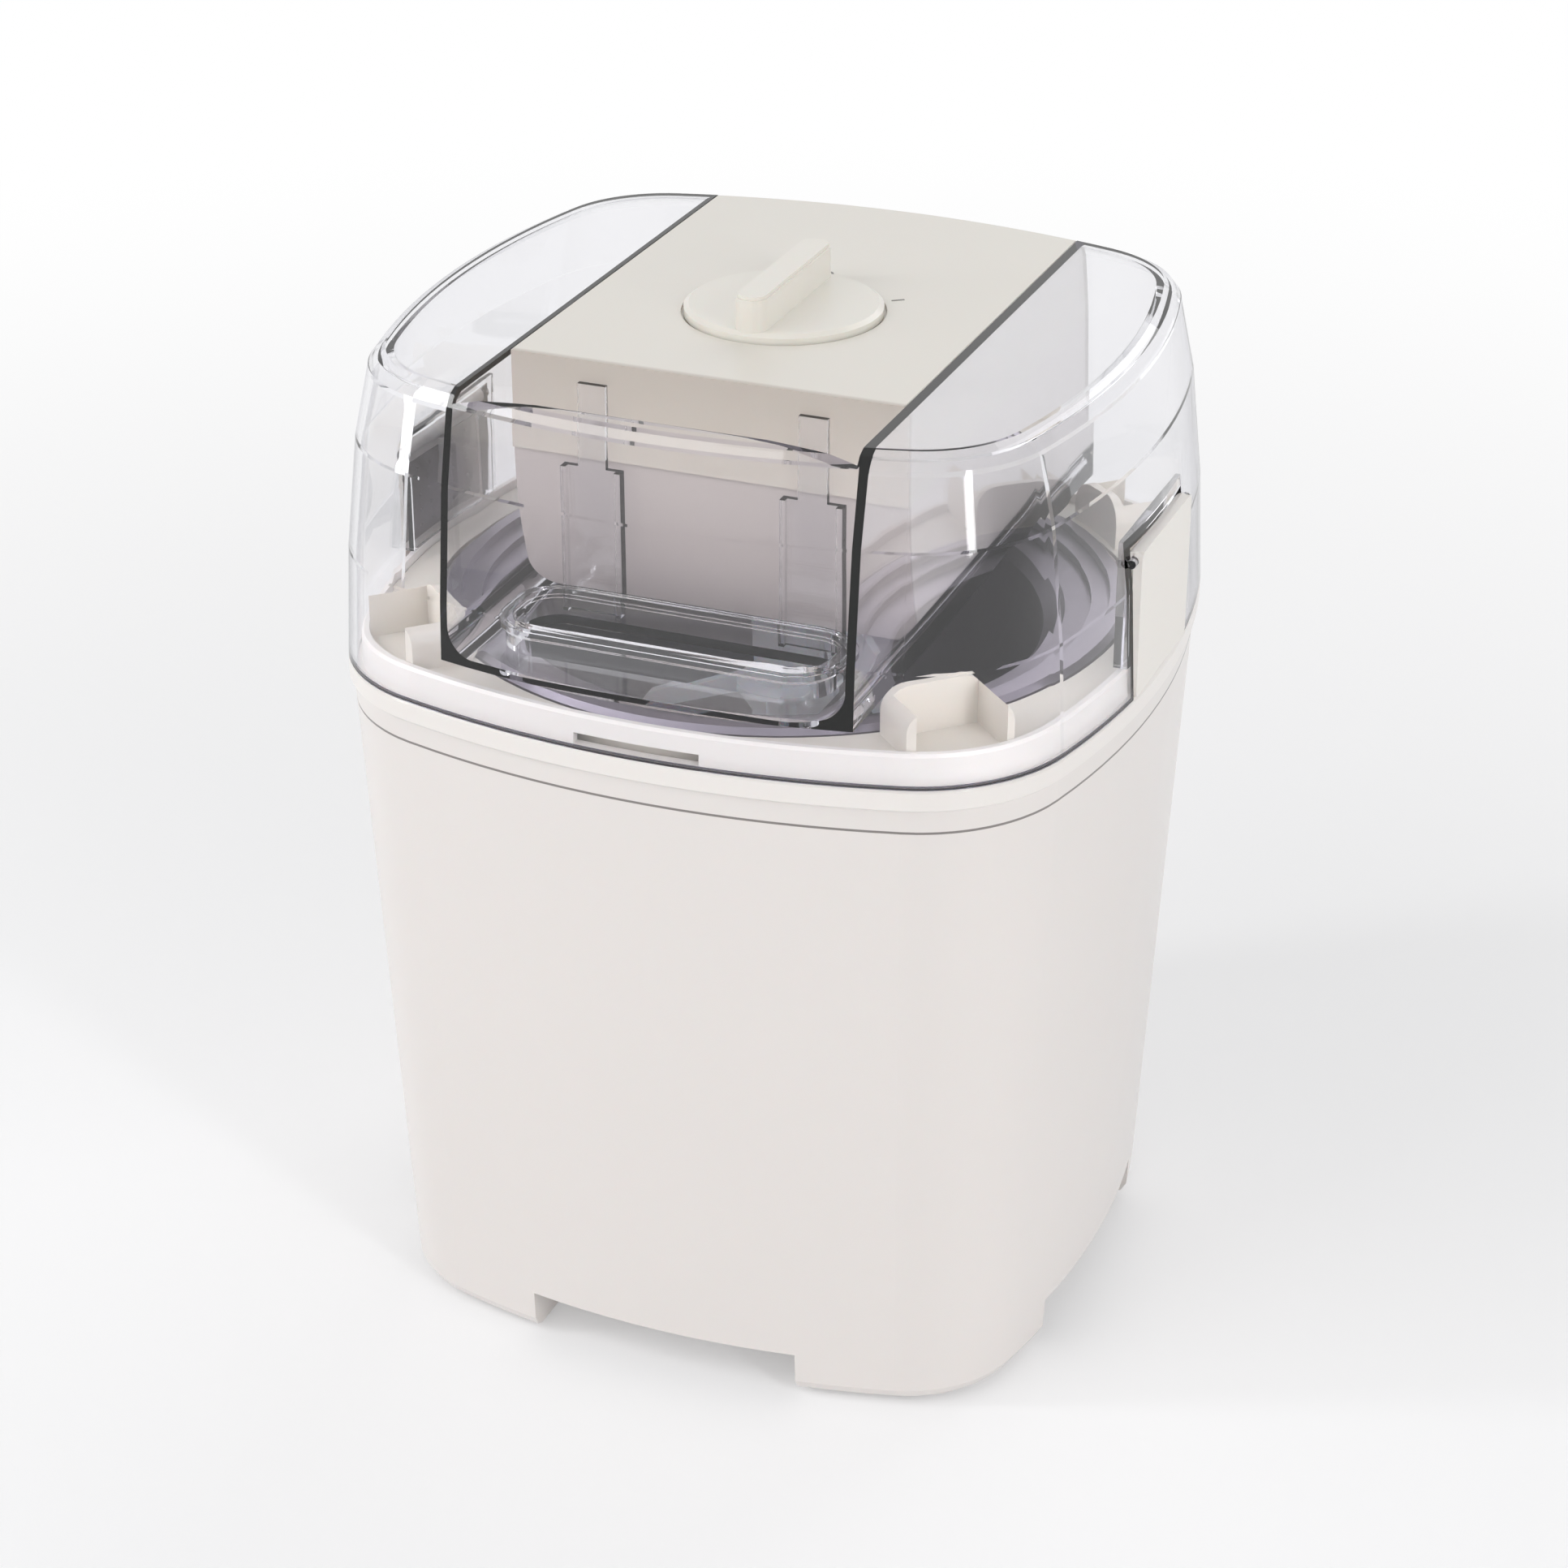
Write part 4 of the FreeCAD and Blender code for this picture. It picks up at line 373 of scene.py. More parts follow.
@dataclass(frozen=True)
class Clear:
    """Clear plastic that darkens along long ways through its wall, with painted shade on its edges
    where the wall turns away from view.

    A foot is the height of a thin dark line painted along its lower edge, painted shade where the clear
    edge looks dark.
    """

    name: str
    density: float = 15.0
    foot: float | None = None
    edge_shade_colour: Colour = (0.05, 0.05, 0.07)
    tint: Colour = (0.985, 0.985, 0.995)
    rim_shade: Colour = (0.16, 0.155, 0.24)
    rim_shade_start: float = 0.72
    shade: Colour = (0.94, 0.94, 0.955)
    smoke: Colour = (0.10, 0.09, 0.22)
    index: float = 1.49
    roughness: float = 0.015
    gloss_scale: float = 25.0
    gloss_swing: float = 0.5
    wave_scale: float = 16.0
    wave_strength: float = 0.05
    wave_depth: float = 0.0005

    def make(self) -> bpy.types.Material:
        """Build the material.

        Returns:
            The material.
        """
        tree = Tree(self.name)
        where = tree.place()
        # Painted shade: the tint darkens where the wall turns away from view, as dark edge lines.
        tree.colour(self.tint, self.rim_shade, tree.glance(self.rim_shade_start))
        # Painted shade: a thin dark line along the lid's lower edge.
        if self.foot is not None:
            tree.overlay(self.edge_shade_colour, tree.seam(self.foot))
        tree.set(Transmission_Weight=1.0, IOR=self.index)
        tree.rough(tree.noise(self.gloss_scale, Detail.SOFT, where),
                   self.roughness * (1.0 - self.gloss_swing), self.roughness * (1.0 + self.gloss_swing))
        wave = tree.noise(self.wave_scale, Detail.SMOOTH, where)
        tree.bump(wave, self.wave_strength, self.wave_depth)
        smoke = tree.add("ShaderNodeVolumeAbsorption", Color=(*self.smoke, 1.0), Density=self.density)
        tree.join(smoke.outputs["Volume"], tree.nodes["Material Output"].inputs["Volume"])
        self.let_lamps_through(tree)
        return tree.material

    def let_lamps_through(self, tree: Tree) -> None:
        """Let lamplight straight through to what lies behind, with a faint shadow.

        Args:
            tree: The material's tree, with its Principled surface set.
        """
        ray = tree.add("ShaderNodeLightPath")
        bare = tree.add("ShaderNodeBsdfTransparent", Color=(*self.shade, 1.0))
        tree.mix_surface(ray.outputs["Is Shadow Ray"], bare.outputs["BSDF"])


@dataclass(frozen=True)
class Milky:
    """Frosted polypropylene that lets some light through."""

    name: str
    colour: Colour
    shade: Colour
    through: float = 0.12
    scatter: float = 0.3
    scatter_depth: float = 0.004
    index: float = 1.49
    shade_scale: float = 22.0
    roughness: float = 0.38
    gloss_scale: float = 120.0
    gloss_swing: float = 0.08
    grain_scale: float = 900.0
    grain_strength: float = 0.2
    grain_depth: float = 0.00003

    def make(self) -> bpy.types.Material:
        """Build the material.

        Returns:
            The material.
        """
        tree = Tree(self.name)
        where = tree.place()
        tree.colour(self.colour, self.shade, tree.noise(self.shade_scale, Detail.SOFT, where))
        tree.rough(tree.noise(self.gloss_scale, Detail.SOFT, where),
                   self.roughness - self.gloss_swing, self.roughness + self.gloss_swing)
        tree.set(Transmission_Weight=self.through, Subsurface_Weight=self.scatter,
                 Subsurface_Scale=self.scatter_depth, IOR=self.index)
        grain = tree.noise(self.grain_scale, Detail.SMOOTH, where)
        tree.bump(grain, self.grain_strength, self.grain_depth)
        return tree.material


@dataclass(frozen=True)
class Flaked:
    """Dark metallic non-stick coating with a fine sparkle."""

    name: str
    colour: Colour
    flake: Colour
    flake_scale: float = 2600.0
    flake_share: float = 0.7
    flake_strength: float = 0.12
    flake_depth: float = 0.00002
    metal: float = 0.9
    coat: float = 0.5
    coat_roughness: float = 0.12
    roughness: float = 0.36
    gloss_scale: float = 45.0
    gloss_swing: Span = (0.05, 0.08)

    def make(self) -> bpy.types.Material:
        """Build the material.

        Returns:
            The material.
        """
        tree = Tree(self.name)
        where = tree.place()
        fleck = tree.cells(self.flake_scale, where)
        tree.colour(self.colour, self.flake, tree.spread(fleck, 0.0, self.flake_share))
        tree.rough(tree.noise(self.gloss_scale, Detail.FINE, where),
                   self.roughness - self.gloss_swing[0], self.roughness + self.gloss_swing[1])
        tree.set(Metallic=self.metal, Coat_Weight=self.coat, Coat_Roughness=self.coat_roughness)
        tree.bump(fleck, self.flake_strength, self.flake_depth)
        return tree.material


@dataclass(frozen=True)
class Turned:
    """Metal cut on a lathe, with rings about its axis."""

    name: str
    colour: Colour
    shade: Colour
    centre: Point = ORIGIN
    line_scale: float = 700.0
    line_strength: float = 0.15
    line_depth: float = 0.00002
    brushed: float = 0.4
    shade_scale: float = 80.0
    roughness: float = 0.36
    gloss_swing: Span = (0.06, 0.1)

    def make(self) -> bpy.types.Material:
        """Build the material.

        Returns:
            The material.
        """
        tree = Tree(self.name)
        lines = tree.rings(self.line_scale, self.centre)
        where = tree.place()
        tree.colour(self.colour, self.shade, tree.noise(self.shade_scale, Detail.FINE, where))
        tree.rough(lines, self.roughness - self.gloss_swing[0], self.roughness + self.gloss_swing[1])
        tree.set(Metallic=1.0, Anisotropic=self.brushed)
        tree.bump(lines, self.line_strength, self.line_depth)
        return tree.material


@dataclass(frozen=True)
class Plated:
    """Rolled or pressed metal with a plated, faintly mottled skin."""

    name: str
    colour: Colour
    shade: Colour
    roughness: float = 0.36
    stretch: Point = (1.0, 1.0, 12.0)
    shade_scale: float = 120.0
    streak_scale: float = 160.0
    streak_strength: float = 0.12
    streak_depth: float = 0.00003
    gloss_swing: Span = (0.06, 0.12)

    def make(self) -> bpy.types.Material:
        """Build the material.

        Returns:
            The material.
        """
        tree = Tree(self.name)
        streak = tree.noise(self.streak_scale, Detail.FINEST, tree.place(self.stretch))
        blotch = tree.noise(self.shade_scale, Detail.SMOOTH, tree.place())
        tree.colour(self.colour, self.shade, blotch)
        tree.rough(streak, self.roughness - self.gloss_swing[0], self.roughness + self.gloss_swing[1])
        tree.set(Metallic=1.0)
        tree.bump(streak, self.streak_strength, self.streak_depth)
        return tree.material


@dataclass(frozen=True)
class Rubber:
    """Soft matt rubber with a dusty bloom."""

    name: str
    colour: Colour
    bloom: Colour
    bloom_scale: float = 55.0
    roughness: Span = (0.65, 0.85)
    gloss_scale: float = 200.0
    sheen: float = 0.15
    sheen_roughness: float = 0.5
    grain_scale: float = 1500.0
    grain_strength: float = 0.35
    grain_depth: float = 0.00005

    def make(self) -> bpy.types.Material:
        """Build the material.

        Returns:
            The material.
        """
        tree = Tree(self.name)
        where = tree.place()
        tree.colour(self.colour, self.bloom, tree.noise(self.bloom_scale, Detail.FINEST, where))
        tree.rough(tree.noise(self.gloss_scale, Detail.SOFT, where), *self.roughness)
        tree.set(Sheen_Weight=self.sheen, Sheen_Roughness=self.sheen_roughness)
        grain = tree.noise(self.grain_scale, Detail.SMOOTH, where)
        tree.bump(grain, self.grain_strength, self.grain_depth)
        return tree.material


@dataclass(frozen=True)
class Gel:
    """Sealed freezing gel, cloudy with small bubbles."""

    name: str
    colour: Colour
    cloud: Colour
    cloud_scale: float = 35.0
    through: float = 0.4
    scatter: float = 0.3
    scatter_depth: float = 0.01
    index: float = 1.34
    roughness: Span = (0.08, 0.25)
    gloss_scale: float = 90.0
    bubble_scale: float = 260.0
    bubble_strength: float = 0.2
    bubble_depth: float = 0.0002

    def make(self) -> bpy.types.Material:
        """Build the material.

        Returns:
            The material.
        """
        tree = Tree(self.name)
        where = tree.place()
        tree.colour(self.colour, self.cloud, tree.noise(self.cloud_scale, Detail.FINEST, where))
        tree.rough(tree.noise(self.gloss_scale, Detail.SMOOTH, where), *self.roughness)
        tree.set(Transmission_Weight=self.through, Subsurface_Weight=self.scatter,
                 Subsurface_Scale=self.scatter_depth, IOR=self.index)
        tree.bump(tree.cells(self.bubble_scale, where), self.bubble_strength, self.bubble_depth)
        return tree.material


# Where a finish follows a piece's own shape: the painted shadow line under the shoulder ring, the
# painted dark line along the lid's lower edge, the painted shade on the unit's front wall, its rounded
# nose and its floor, and the axis of the motor's pinion.
SHELL_SHADOW_LINE = 0.1856
LID_EDGE = 0.1987
COVER_FRONT_SHADE = PaintedShadeSide(along=(0.0, 1.0, 0.0), centre=(0.0, 0.1, 0.0), start=0.1525, end=0.1548)
CASE_NOSE_SHADE = PaintedShadeSide(along=(0.0, 1.0, 1.0), centre=(0.0, 0.0504, 0.258), start=0.1029, end=0.1041)
CASE_FLOOR_SHADE = PaintedShadeSide(along=(0.0, 0.0, 1.0), centre=(0.0, 0.0, 0.3), start=0.0775, end=0.0835)
PINION_AXIS: Point = (0.00005, 0.056, 0.0)


class Finish(Enum):
    """Every finish on the machine."""

    # The shell gets a painted shadow line under the shoulder ring's overhang.
    SHELL = Moulded("shell_cream", (0.77, 0.73, 0.705), (0.75, 0.71, 0.685),
                    roughness=0.36, coat=0.35, scatter=0.05, seam=SHELL_SHADOW_LINE)
    RING = Moulded("ring_cream", (0.82, 0.785, 0.755), (0.795, 0.76, 0.73),
                   roughness=0.35, coat=0.3, scatter=0.05)
    HOLDER = Moulded("holder_cream", (0.72, 0.675, 0.61), (0.69, 0.645, 0.58),
                     roughness=0.4, coat=0.15, scatter=0.05)
    # The cover's front and the case's nose and floor get painted shade, a darker tone of the same
    # plastic.
    COVER = Moulded("cover_cream", (0.79, 0.755, 0.695), (0.765, 0.73, 0.67),
                    roughness=0.35, coat=0.35, scatter=0.05,
                    painted_shade=(0.55, 0.495, 0.44), painted_shade_sides=(COVER_FRONT_SHADE,))
    CASE = Moulded("case_greige", (0.76, 0.715, 0.68), (0.735, 0.69, 0.655),
                   roughness=0.38, coat=0.2,
                   painted_shade=(0.48, 0.425, 0.405), painted_shade_sides=(CASE_NOSE_SHADE, CASE_FLOOR_SHADE))
    KNOB = Moulded("knob_cream", (0.83, 0.80, 0.735), (0.80, 0.77, 0.705),
                   roughness=0.34, coat=0.45, scatter=0.12)
    LATCH = Moulded("latch_cream", (0.80, 0.765, 0.715), (0.775, 0.74, 0.69),
                    roughness=0.36, coat=0.3, scatter=0.05)
    # Painted shade: the dark pad on each latch's inner face.
    GRIP = Moulded("latch_shade_taupe", (0.20, 0.165, 0.15), (0.16, 0.13, 0.12), roughness=0.42, coat=0.1)
    WHITE = Moulded("bearing_white", (0.84, 0.84, 0.83), (0.79, 0.79, 0.78), roughness=0.38, coat=0.1)
    SWITCH = Moulded("switch_black", (0.035, 0.035, 0.04), (0.055, 0.055, 0.06),
                     roughness=0.42, coat=0.05)
    GLAND = Moulded("gland_grey", (0.30, 0.29, 0.28), (0.26, 0.25, 0.24), roughness=0.5, coat=0.0)
    JACKET = Moulded("jacket_grey", (0.13, 0.115, 0.14), (0.10, 0.09, 0.11), roughness=0.4, coat=0.15)
    GEAR = Moulded("gear_acetal", (0.78, 0.78, 0.72), (0.72, 0.72, 0.66),
                   roughness=0.38, coat=0.0, scatter=0.15)
    MARK = Moulded("mark_grey", (0.22, 0.21, 0.20), (0.26, 0.25, 0.24), roughness=0.5, coat=0.0)
    LID = Clear("lid_clear", foot=LID_EDGE)
    PIN = Clear("pin_clear", density=60.0)
    PADDLE = Milky("paddle_milky", (0.90, 0.905, 0.94), (0.86, 0.87, 0.91))
    BOWL = Flaked("bowl_coating", (0.08, 0.073, 0.096), (0.22, 0.207, 0.25))
    STEEL = Turned("steel_ground", (0.60, 0.60, 0.62), (0.50, 0.50, 0.52))
    BRASS = Turned("brass_cut", (0.72, 0.52, 0.20), (0.62, 0.43, 0.16),
                   centre=PINION_AXIS, line_scale=900.0)
    CAN = Plated("motor_can", (0.52, 0.53, 0.55), (0.44, 0.45, 0.48))
    PLATE = Plated("gear_plate_steel", (0.58, 0.58, 0.60), (0.50, 0.50, 0.53), stretch=(10.0, 1.0, 1.0))
    SCREW = Plated("screw_zinc", (0.62, 0.62, 0.64), (0.52, 0.53, 0.50), roughness=0.34, stretch=EVEN)
    TAB = Plated("tab_brass", (0.70, 0.53, 0.24), (0.60, 0.44, 0.19))
    PAD = Rubber("pad_rubber", (0.10, 0.10, 0.105), (0.15, 0.15, 0.155))
    SEAL = Rubber("seal_rubber", (0.16, 0.155, 0.165), (0.22, 0.215, 0.225))
    COOLANT = Gel("coolant_gel", (0.30, 0.52, 0.78), (0.50, 0.68, 0.86))

    def material(self) -> bpy.types.Material:
        """Return the finish's material, built on first use."""
        found = bpy.data.materials.get(self.value.name)
        return found or self.value.make()


def dress(node: str, finish: Finish) -> None:
    """Put one finish on a CAD node.

    Args:
        node: The node's name.
        finish: The finish that it gets.
    """
    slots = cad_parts[node].data.materials
    slots.clear()
    slots.append(finish.material())
    LOG.info("%s dressed in %s", node, finish.value.name)


# ----------------------------------------------------------------- new pieces
@dataclass
class Blank:
    """A new piece, shaped with mesh operators and then fitted to a body."""

    name: str
    body: str
    slot: str
    mesh: bmesh.types.BMesh = field(default_factory=bmesh.new)

    def slab(self, size: Point, middle: Point, turn: float = 0.0) -> None:
        """Add a box.

        Args:
            size: Its length along x, y and z.
            middle: Its centre.
            turn: Its turn about the upright axis through its centre, in degrees.
        """
        where = Matrix.Translation(middle) @ Matrix.Rotation(math.radians(turn), 4, "Z")
        bmesh.ops.create_cube(self.mesh, size=1.0, matrix=where @ Matrix.Diagonal((*size, 1.0)))

    def disc(self, radius: float, depth: float, middle: Point) -> None:
        """Add an upright round disc.

        Args:
            radius: Its radius.
            depth: Its height.
            middle: Its centre.
        """
        bmesh.ops.create_cone(self.mesh, cap_ends=True, segments=ROUND_SIDES, radius1=radius,
                              radius2=radius, depth=depth, matrix=Matrix.Translation(middle))

    def bump(self, radius: float, middle: Point) -> None:
        """Add a small round dot, half sunk at its centre."""
        bmesh.ops.create_icosphere(self.mesh, subdivisions=1, radius=radius,
                                   matrix=Matrix.Translation(middle))

    def ring(self, radius: float, width: float, height: float, floor: Point) -> None:
        """Add a flat ring, spun about an upright axis.

        Args:
            radius: The radius of its middle line.
            width: Its width outwards.
            height: Its height.
            floor: The centre of its underside.
        """
        section = bmesh.new()
        upright = Matrix.Translation((radius, 0.0, height / 2)) @ Matrix.Rotation(math.pi / 2, 4, "X")
        place = Matrix.Translation(floor) @ upright @ Matrix.Diagonal((width, height, 1.0, 1.0))
        bmesh.ops.create_grid(section, x_segments=1, y_segments=1, size=HALF_UNIT, matrix=place)
        bmesh.ops.delete(section, geom=section.faces[:], context="FACES_ONLY")
        bmesh.ops.spin(section, geom=section.verts[:] + section.edges[:], cent=floor,
                       axis=(0.0, 0.0, 1.0), angle=math.tau, steps=RING_STEPS, use_merge=True)
        self.take(section)

    def take(self, other: bmesh.types.BMesh) -> None:
        """Add another mesh's geometry to this one and free it.

        Args:
            other: The other mesh.
        """
        bmesh.ops.remove_doubles(other, verts=other.verts, dist=WELD)
        # A spin leaves its faces in no fixed order. Sorted, they are the same in every run.
        other.faces.sort(key=lambda face: face.calc_center_median().dot(SORT_WAY))
        copy = bpy.data.meshes.new("part")
        other.to_mesh(copy)
        other.free()
        self.mesh.from_mesh(copy)
        bpy.data.meshes.remove(copy)

    def fit(self, finish: Finish, rounding: float = 0.0) -> None:
        """Make the object, dress it and let it ride on its body.

        Args:
            finish: The finish that it gets.
            rounding: The radius of its rounded edges, or 0.
        """
        if rounding:
            bmesh.ops.bevel(self.mesh, geom=self.mesh.edges[:], offset=rounding,
                            segments=ROUNDING_STEPS, profile=0.5, affect="EDGES", material=-1,
                            clamp_overlap=True)
        bmesh.ops.recalc_face_normals(self.mesh, faces=self.mesh.faces[:])
        data = bpy.data.meshes.new(self.name)
        self.mesh.to_mesh(data)
        self.mesh.free()
        piece = bpy.data.objects.new(self.name, data)
        bpy.context.scene.collection.objects.link(piece)
        data.materials.append(finish.material())
        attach(piece, self.body)
        LOG.info("%s made for the %s, %d faces", self.name, self.body, len(data.polygons))


# --------------------------------------------------------------- subassemblies
@dataclass
class Base:
    """The outer casing, its shoulder, the bowl holder and the feet."""

    def build(self) -> None:
        """Dress the casing."""
        dress("base_shell", Finish.SHELL)
        dress("shoulder_ring", Finish.RING)
        dress("bowl_holder", Finish.HOLDER)
        dress("foot_pads", Finish.PAD)
        dress("base_screws", Finish.SCREW)


@dataclass
class Bowl:
    """The double-walled freezer bowl."""

    def build(self) -> None:
        """Dress the bowl from the inside out."""
        dress("bowl_liner", Finish.BOWL)
        dress("bowl_seal", Finish.SEAL)
        dress("bowl_jacket", Finish.JACKET)
        dress("bowl_coolant", Finish.COOLANT)


@dataclass
class Lid:
    """The clear lid with its two side latches and the dark pads of painted shade on their inner faces.

    Heights are from a latch's foot. The bar up the middle of its inner face is in its own solid.
    """

    strip: float = 0.0024
    pad_size: Span = (0.041, 0.0245)
    pad_low: float = 0.0098
    pad_depth: float = 0.0003
    pad_rounding: float = 0.00008
    bar_radius: float = 0.0016
    bar_room: float = 1.3
    bar_low: float = 0.0132
    bar_high: float = 0.0362
    cap_radius: float = 0.0021
    cap_height: float = 0.0022
    cap_shift: float = 0.0001
    cap_rounding: float = 0.0004
    dot_radius: float = 0.00065
    dot_step: float = 0.0046
    dot_rows: int = 5
    dot_columns: tuple[float, ...] = (0.0072, 0.0142)

    def build(self) -> None:
        """Dress the lid and its latches and add their small parts."""
        dress("lid_shell", Finish.LID)
        dress("latch_pins", Finish.PIN)
        for node, side in (("latch_right", 1.0), ("latch_left", -1.0)):
            dress(node, Finish.LATCH)
            self.shade_latch(node, side)
            self.cap_bar(node, side)

    def inner_face(self, node: str, side: float) -> Span:
        """Find a latch's inner face.

        Args:
            node: The latch's CAD node.
            side: 1 on the right, -1 on the left.

        Returns:
            How far out the face is, and the height of the latch's foot.
        """
        low, high = (Vector(corner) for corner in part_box(node))
        return (high.x if side > 0 else -low.x) - self.strip, low.z

    def shade_latch(self, node: str, side: float) -> None:
        """Line the inner face of one latch with a dark pad of painted shade, with raised dots, on both
        sides of its bar.

        Args:
            node: The latch's CAD node, which is also its body.
            side: 1 on the right, -1 on the left.
        """
        inner, foot = self.inner_face(node, side)
        # The pad is a dark sheet of painted shade; its dots stand for the small bumps on the latch.
        pad = Blank(f"{node}_pad", node, "dark_plastic")
        width, height = self.pad_size
        middle = foot + self.pad_low + height / 2
        room = self.bar_radius * self.bar_room
        half = (width / 2 - room) / 2
        for way in (-1.0, 1.0):
            pad.slab((self.pad_depth, 2 * half, height),
                     (side * (inner - self.pad_depth / 2), way * (room + half), middle))
            for column in self.dot_columns:
                for row in range(self.dot_rows):
                    rise = (row - (self.dot_rows - 1) / 2) * self.dot_step
                    pad.bump(self.dot_radius,
                             (side * (inner - self.pad_depth), way * column, middle + rise))
        pad.fit(Finish.GRIP, self.pad_rounding)

    def cap_bar(self, node: str, side: float) -> None:
        """Cap both ends of one latch's bar.

        Args:
            node: The latch's CAD node, which is also its body.
            side: 1 on the right, -1 on the left.
        """
        inner, foot = self.inner_face(node, side)
        caps = Blank(f"{node}_caps", node, "cream_plastic")
        for rise in (self.bar_low, self.bar_high - self.cap_height):
            caps.disc(self.cap_radius, self.cap_height,
                      (side * (inner + self.cap_shift), 0.0, foot + rise + self.cap_height / 2))
        caps.fit(Finish.LATCH, self.cap_rounding)


@dataclass
class DriveUnit:
    """The motor, the gears, their housing and the knob."""

    mark_height: float = 0.00012
    mark_gap: float = 0.0048
    mark_line: float = 0.0006
    zero_radius: float = 0.0015
    one_length: float = 0.0036
    one_turn: float = 36.0
    tab_size: Point = (0.0048, 0.0006, 0.0042)
    tab_side: float = 0.0105
    tab_rounding: float = 0.00015

    def build(self) -> None:
        """Dress the unit, mark its dial and fit its terminals."""
        for node, finish in {
                "drive_case": Finish.CASE, "drive_cover": Finish.COVER, "case_screws": Finish.SCREW,
                "shaft_bush": Finish.WHITE, "gear_axles": Finish.STEEL, "gear_plate": Finish.PLATE,
                "plate_screws": Finish.SCREW, "motor": Finish.CAN, "rotary_switch": Finish.SWITCH,
                "cable_gland": Finish.GLAND, "output_gear": Finish.GEAR, "second_gear": Finish.GEAR,
                "first_gear": Finish.GEAR, "motor_pinion": Finish.BRASS, "drive_shaft": Finish.STEEL,
                "shaft_ring": Finish.WHITE, "knob": Finish.KNOB}.items():
            dress(node, finish)
        self.mark_dial()
        self.fit_terminals()

    def mark_dial(self) -> None:
        """Print a 0 and a 1 on the cover, behind the knob and at the end of its turn."""
        low, high = (Vector(corner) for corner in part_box("knob"))
        top = Vector(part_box("drive_cover")[1]).z
        centre = (low + high) / 2
        reach = (high.x - low.x) / 2 + self.mark_gap
        marks = Blank("dial_marks", "drive_unit", "dark_plastic")
        marks.ring(self.zero_radius, self.mark_line, self.mark_height,
                   (centre.x, centre.y + reach, top))
        turn = math.radians(self.one_turn)
        marks.slab((self.one_length, self.mark_line, self.mark_height),
                   (centre.x + reach * math.cos(turn), centre.y + reach * math.sin(turn),
                    top + self.mark_height / 2), self.one_turn)
        marks.fit(Finish.MARK)

    def fit_terminals(self) -> None:
        """Stand two brass tabs on the motor."""
        low, high = (Vector(corner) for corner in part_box("motor"))
        centre = (low + high) / 2
        tabs = Blank("motor_tabs", "drive_unit", "brass_pinion")
        for side in (-1.0, 1.0):
            tabs.slab(self.tab_size, (centre.x + side * self.tab_side, centre.y, high.z))
        tabs.fit(Finish.TAB, self.tab_rounding)


@dataclass
class Mixer:
    """The paddle that hangs on the drive shaft."""

    def build(self) -> None:
        """Dress the paddle."""
        dress("paddle", Finish.PADDLE)


# ---------------------------------------------------------------------- studio
@dataclass(frozen=True)
class Lamp:
    """One soft lamp: its place, its width and height, and its power in watts."""

    name: str
    where: Point
    size: Span
    power: float


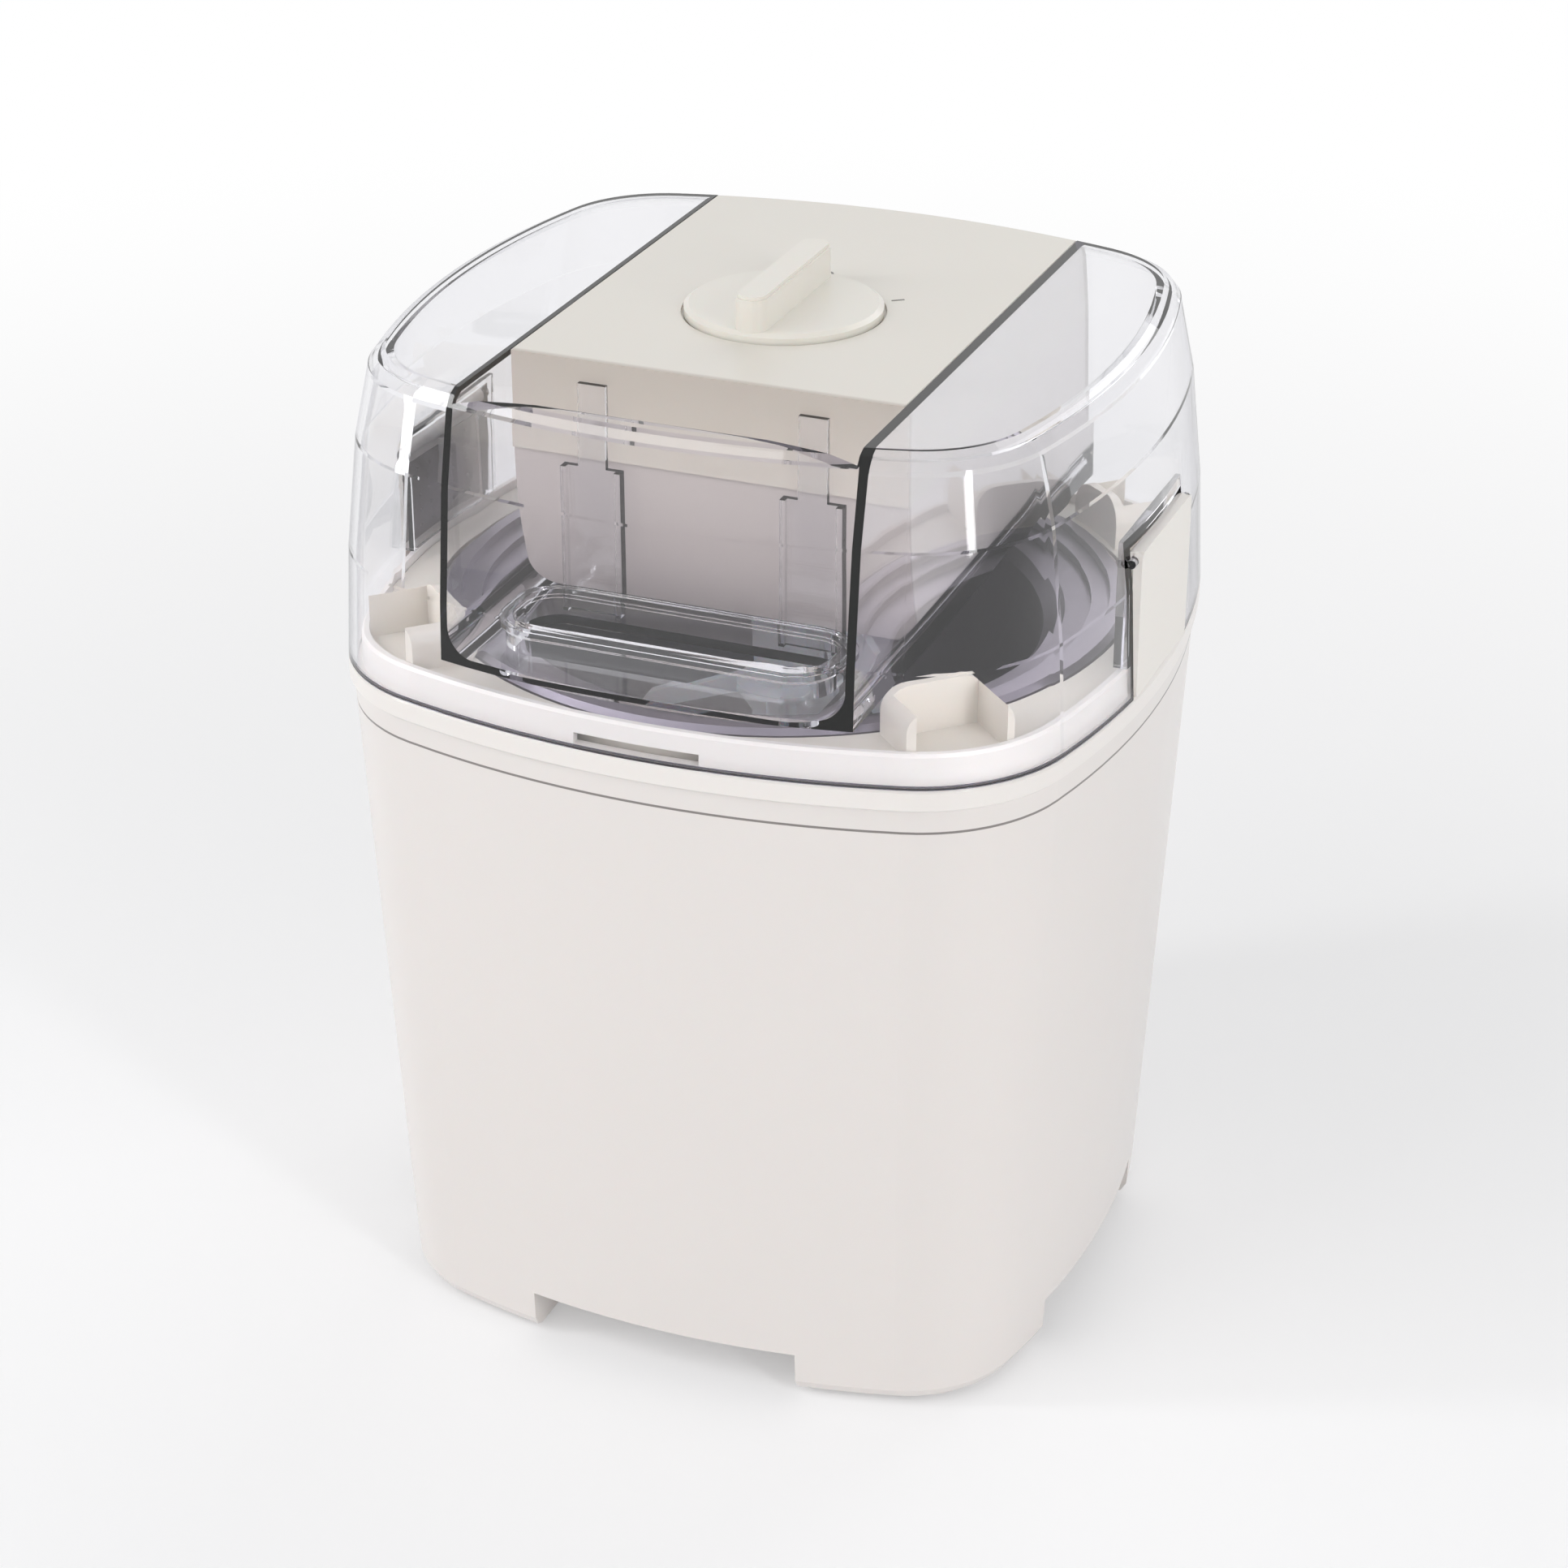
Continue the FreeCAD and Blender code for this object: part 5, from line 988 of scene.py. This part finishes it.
@dataclass
class Studio:
    """A pale floor, soft lamps and the camera."""

    azimuth: float = 22.0
    elevation: float = 27.0
    distance: float = 1.06
    lens: float = 85.0
    look_at: Point = (0.0, 0.0, 0.142)
    room_light: float = 0.48
    lamps: tuple[Lamp, ...] = (
        Lamp("key_lamp", (-1.1, -1.5, 1.7), (1.4, 1.4), 11.0),
        Lamp("fill_lamp", (1.7, -0.9, 1.1), (1.2, 1.2), 4.5),
        Lamp("back_lamp", (0.3, 1.7, 1.6), (1.4, 1.4), 9.0),
        Lamp("left_strip", (-0.95, -0.55, 0.5), (0.12, 1.1), 4.0),
        Lamp("right_strip", (1.05, -0.7, 0.5), (0.12, 1.1), 4.4))
    floor_size: float = 40.0
    floor_pale: Colour = (0.93, 0.93, 0.945)
    floor_paler: Colour = (0.95, 0.95, 0.96)
    floor_scale: float = 1.5
    floor_roughness: Span = (0.7, 0.85)
    floor_gloss_scale: float = 40.0
    floor_glow: Span = (0.3, 1.0)
    shadow_reach: Span = (0.2, 1.1)

    def build(self) -> None:
        """Make the floor, world, lamps and camera."""
        self.lay_floor()
        self.light_world()
        for lamp in self.lamps:
            self.hang_lamp(lamp)
        self.set_camera()

    def lay_floor(self) -> None:
        """Lay a pale matt floor under the machine."""
        floor = bmesh.new()
        bmesh.ops.create_grid(floor, x_segments=1, y_segments=1, size=self.floor_size / 2)
        data = bpy.data.meshes.new("floor")
        floor.to_mesh(data)
        floor.free()
        piece = bpy.data.objects.new("floor", data)
        bpy.context.scene.collection.objects.link(piece)
        data.materials.append(self.floor_material())

    def floor_material(self) -> bpy.types.Material:
        """Build a matt floor that holds the machine's shadow and turns into the white room further out.

        Returns:
            The floor's material.
        """
        tree = Tree("floor_white")
        where = tree.place()
        tree.colour(self.floor_pale, self.floor_paler,
                    tree.noise(self.floor_scale, Detail.SMOOTH, where))
        tree.rough(tree.noise(self.floor_gloss_scale, Detail.SOFT, where), *self.floor_roughness)
        glow = tree.add("ShaderNodeEmission", Color=WHITE_LIGHT, Strength=1.0)
        away = tree.add("ShaderNodeVectorMath", operation="LENGTH")
        tree.join(where, away.inputs[0])
        glows = tree.add("ShaderNodeMapRange", interpolation_type="SMOOTHSTEP")
        for name, value in (("From Min", self.shadow_reach[0]), ("From Max", self.shadow_reach[1]),
                            ("To Min", self.floor_glow[0]), ("To Max", self.floor_glow[1])):
            glows.inputs[name].default_value = value
        tree.join(away.outputs["Value"], glows.inputs["Value"])
        share = tree.add("ShaderNodeMath", operation="MULTIPLY")
        tree.join(self.seen_rays(tree.nodes, tree.links), share.inputs[0])
        tree.join(glows.outputs["Result"], share.inputs[1])
        tree.mix_surface(share.outputs["Value"], glow.outputs["Emission"])
        return tree.material

    @staticmethod
    def seen_rays(nodes: bpy.types.Nodes, links: bpy.types.NodeLinks) -> Socket:
        """Return 1 for rays that show the room: straight, mirrored or through glass.

        Args:
            nodes: The nodes of the tree that asks.
            links: The links of that tree.

        Returns:
            The socket that carries 0 or 1.
        """
        path = nodes.new("ShaderNodeLightPath")
        seen = path.outputs["Is Camera Ray"]
        for kind in ("Is Transmission Ray", "Is Glossy Ray"):
            most = nodes.new("ShaderNodeMath")
            most.operation = "MAXIMUM"
            links.new(seen, most.inputs[0])
            links.new(path.outputs[kind], most.inputs[1])
            seen = most.outputs["Value"]
        return seen

    def light_world(self) -> None:
        """Light softly all round, and show a white room behind the machine."""
        world = bpy.data.worlds.new("room")
        bpy.context.scene.world = world
        world.use_nodes = True
        nodes, links = world.node_tree.nodes, world.node_tree.links
        background = nodes["Background"]
        background.inputs["Color"].default_value = WHITE_LIGHT
        seen = self.seen_rays(nodes, links)
        strength = nodes.new("ShaderNodeMapRange")
        strength.inputs["To Min"].default_value = self.room_light
        strength.inputs["To Max"].default_value = 1.0
        links.new(seen, strength.inputs["Value"])
        links.new(strength.outputs["Result"], background.inputs["Strength"])

    def hang_lamp(self, lamp: Lamp) -> None:
        """Hang a soft lamp that faces the machine.

        Args:
            lamp: The lamp.
        """
        data = bpy.data.lights.new(lamp.name, "AREA")
        data.shape = "RECTANGLE"
        data.energy, (data.size, data.size_y) = lamp.power, lamp.size
        piece = bpy.data.objects.new(lamp.name, data)
        bpy.context.scene.collection.objects.link(piece)
        piece.location = lamp.where
        aim = Vector(self.look_at) - Vector(lamp.where)
        piece.rotation_euler = aim.to_track_quat("-Z", "Y").to_euler()

    def set_camera(self) -> None:
        """Set the camera on the machine."""
        data = bpy.data.cameras.new("camera")
        data.lens = self.lens
        camera = bpy.data.objects.new("camera", data)
        bpy.context.scene.collection.objects.link(camera)
        turn, rise = math.radians(self.azimuth), math.radians(self.elevation)
        away = Vector((math.sin(turn) * math.cos(rise), -math.cos(turn) * math.cos(rise),
                       math.sin(rise)))
        camera.location = Vector(self.look_at) + away * self.distance
        camera.rotation_euler = (-away).to_track_quat("-Z", "Y").to_euler()
        bpy.context.scene.camera = camera


def main() -> None:
    """Build the machine and the studio."""
    logging.basicConfig(level=logging.INFO, format="%(name)s: %(message)s")
    bpy.context.scene.view_settings.view_transform = "Standard"
    for part in (Studio(), Base(), Bowl(), Lid(), DriveUnit(), Mixer()):
        part.build()


if __name__ == "__main__":
    main()
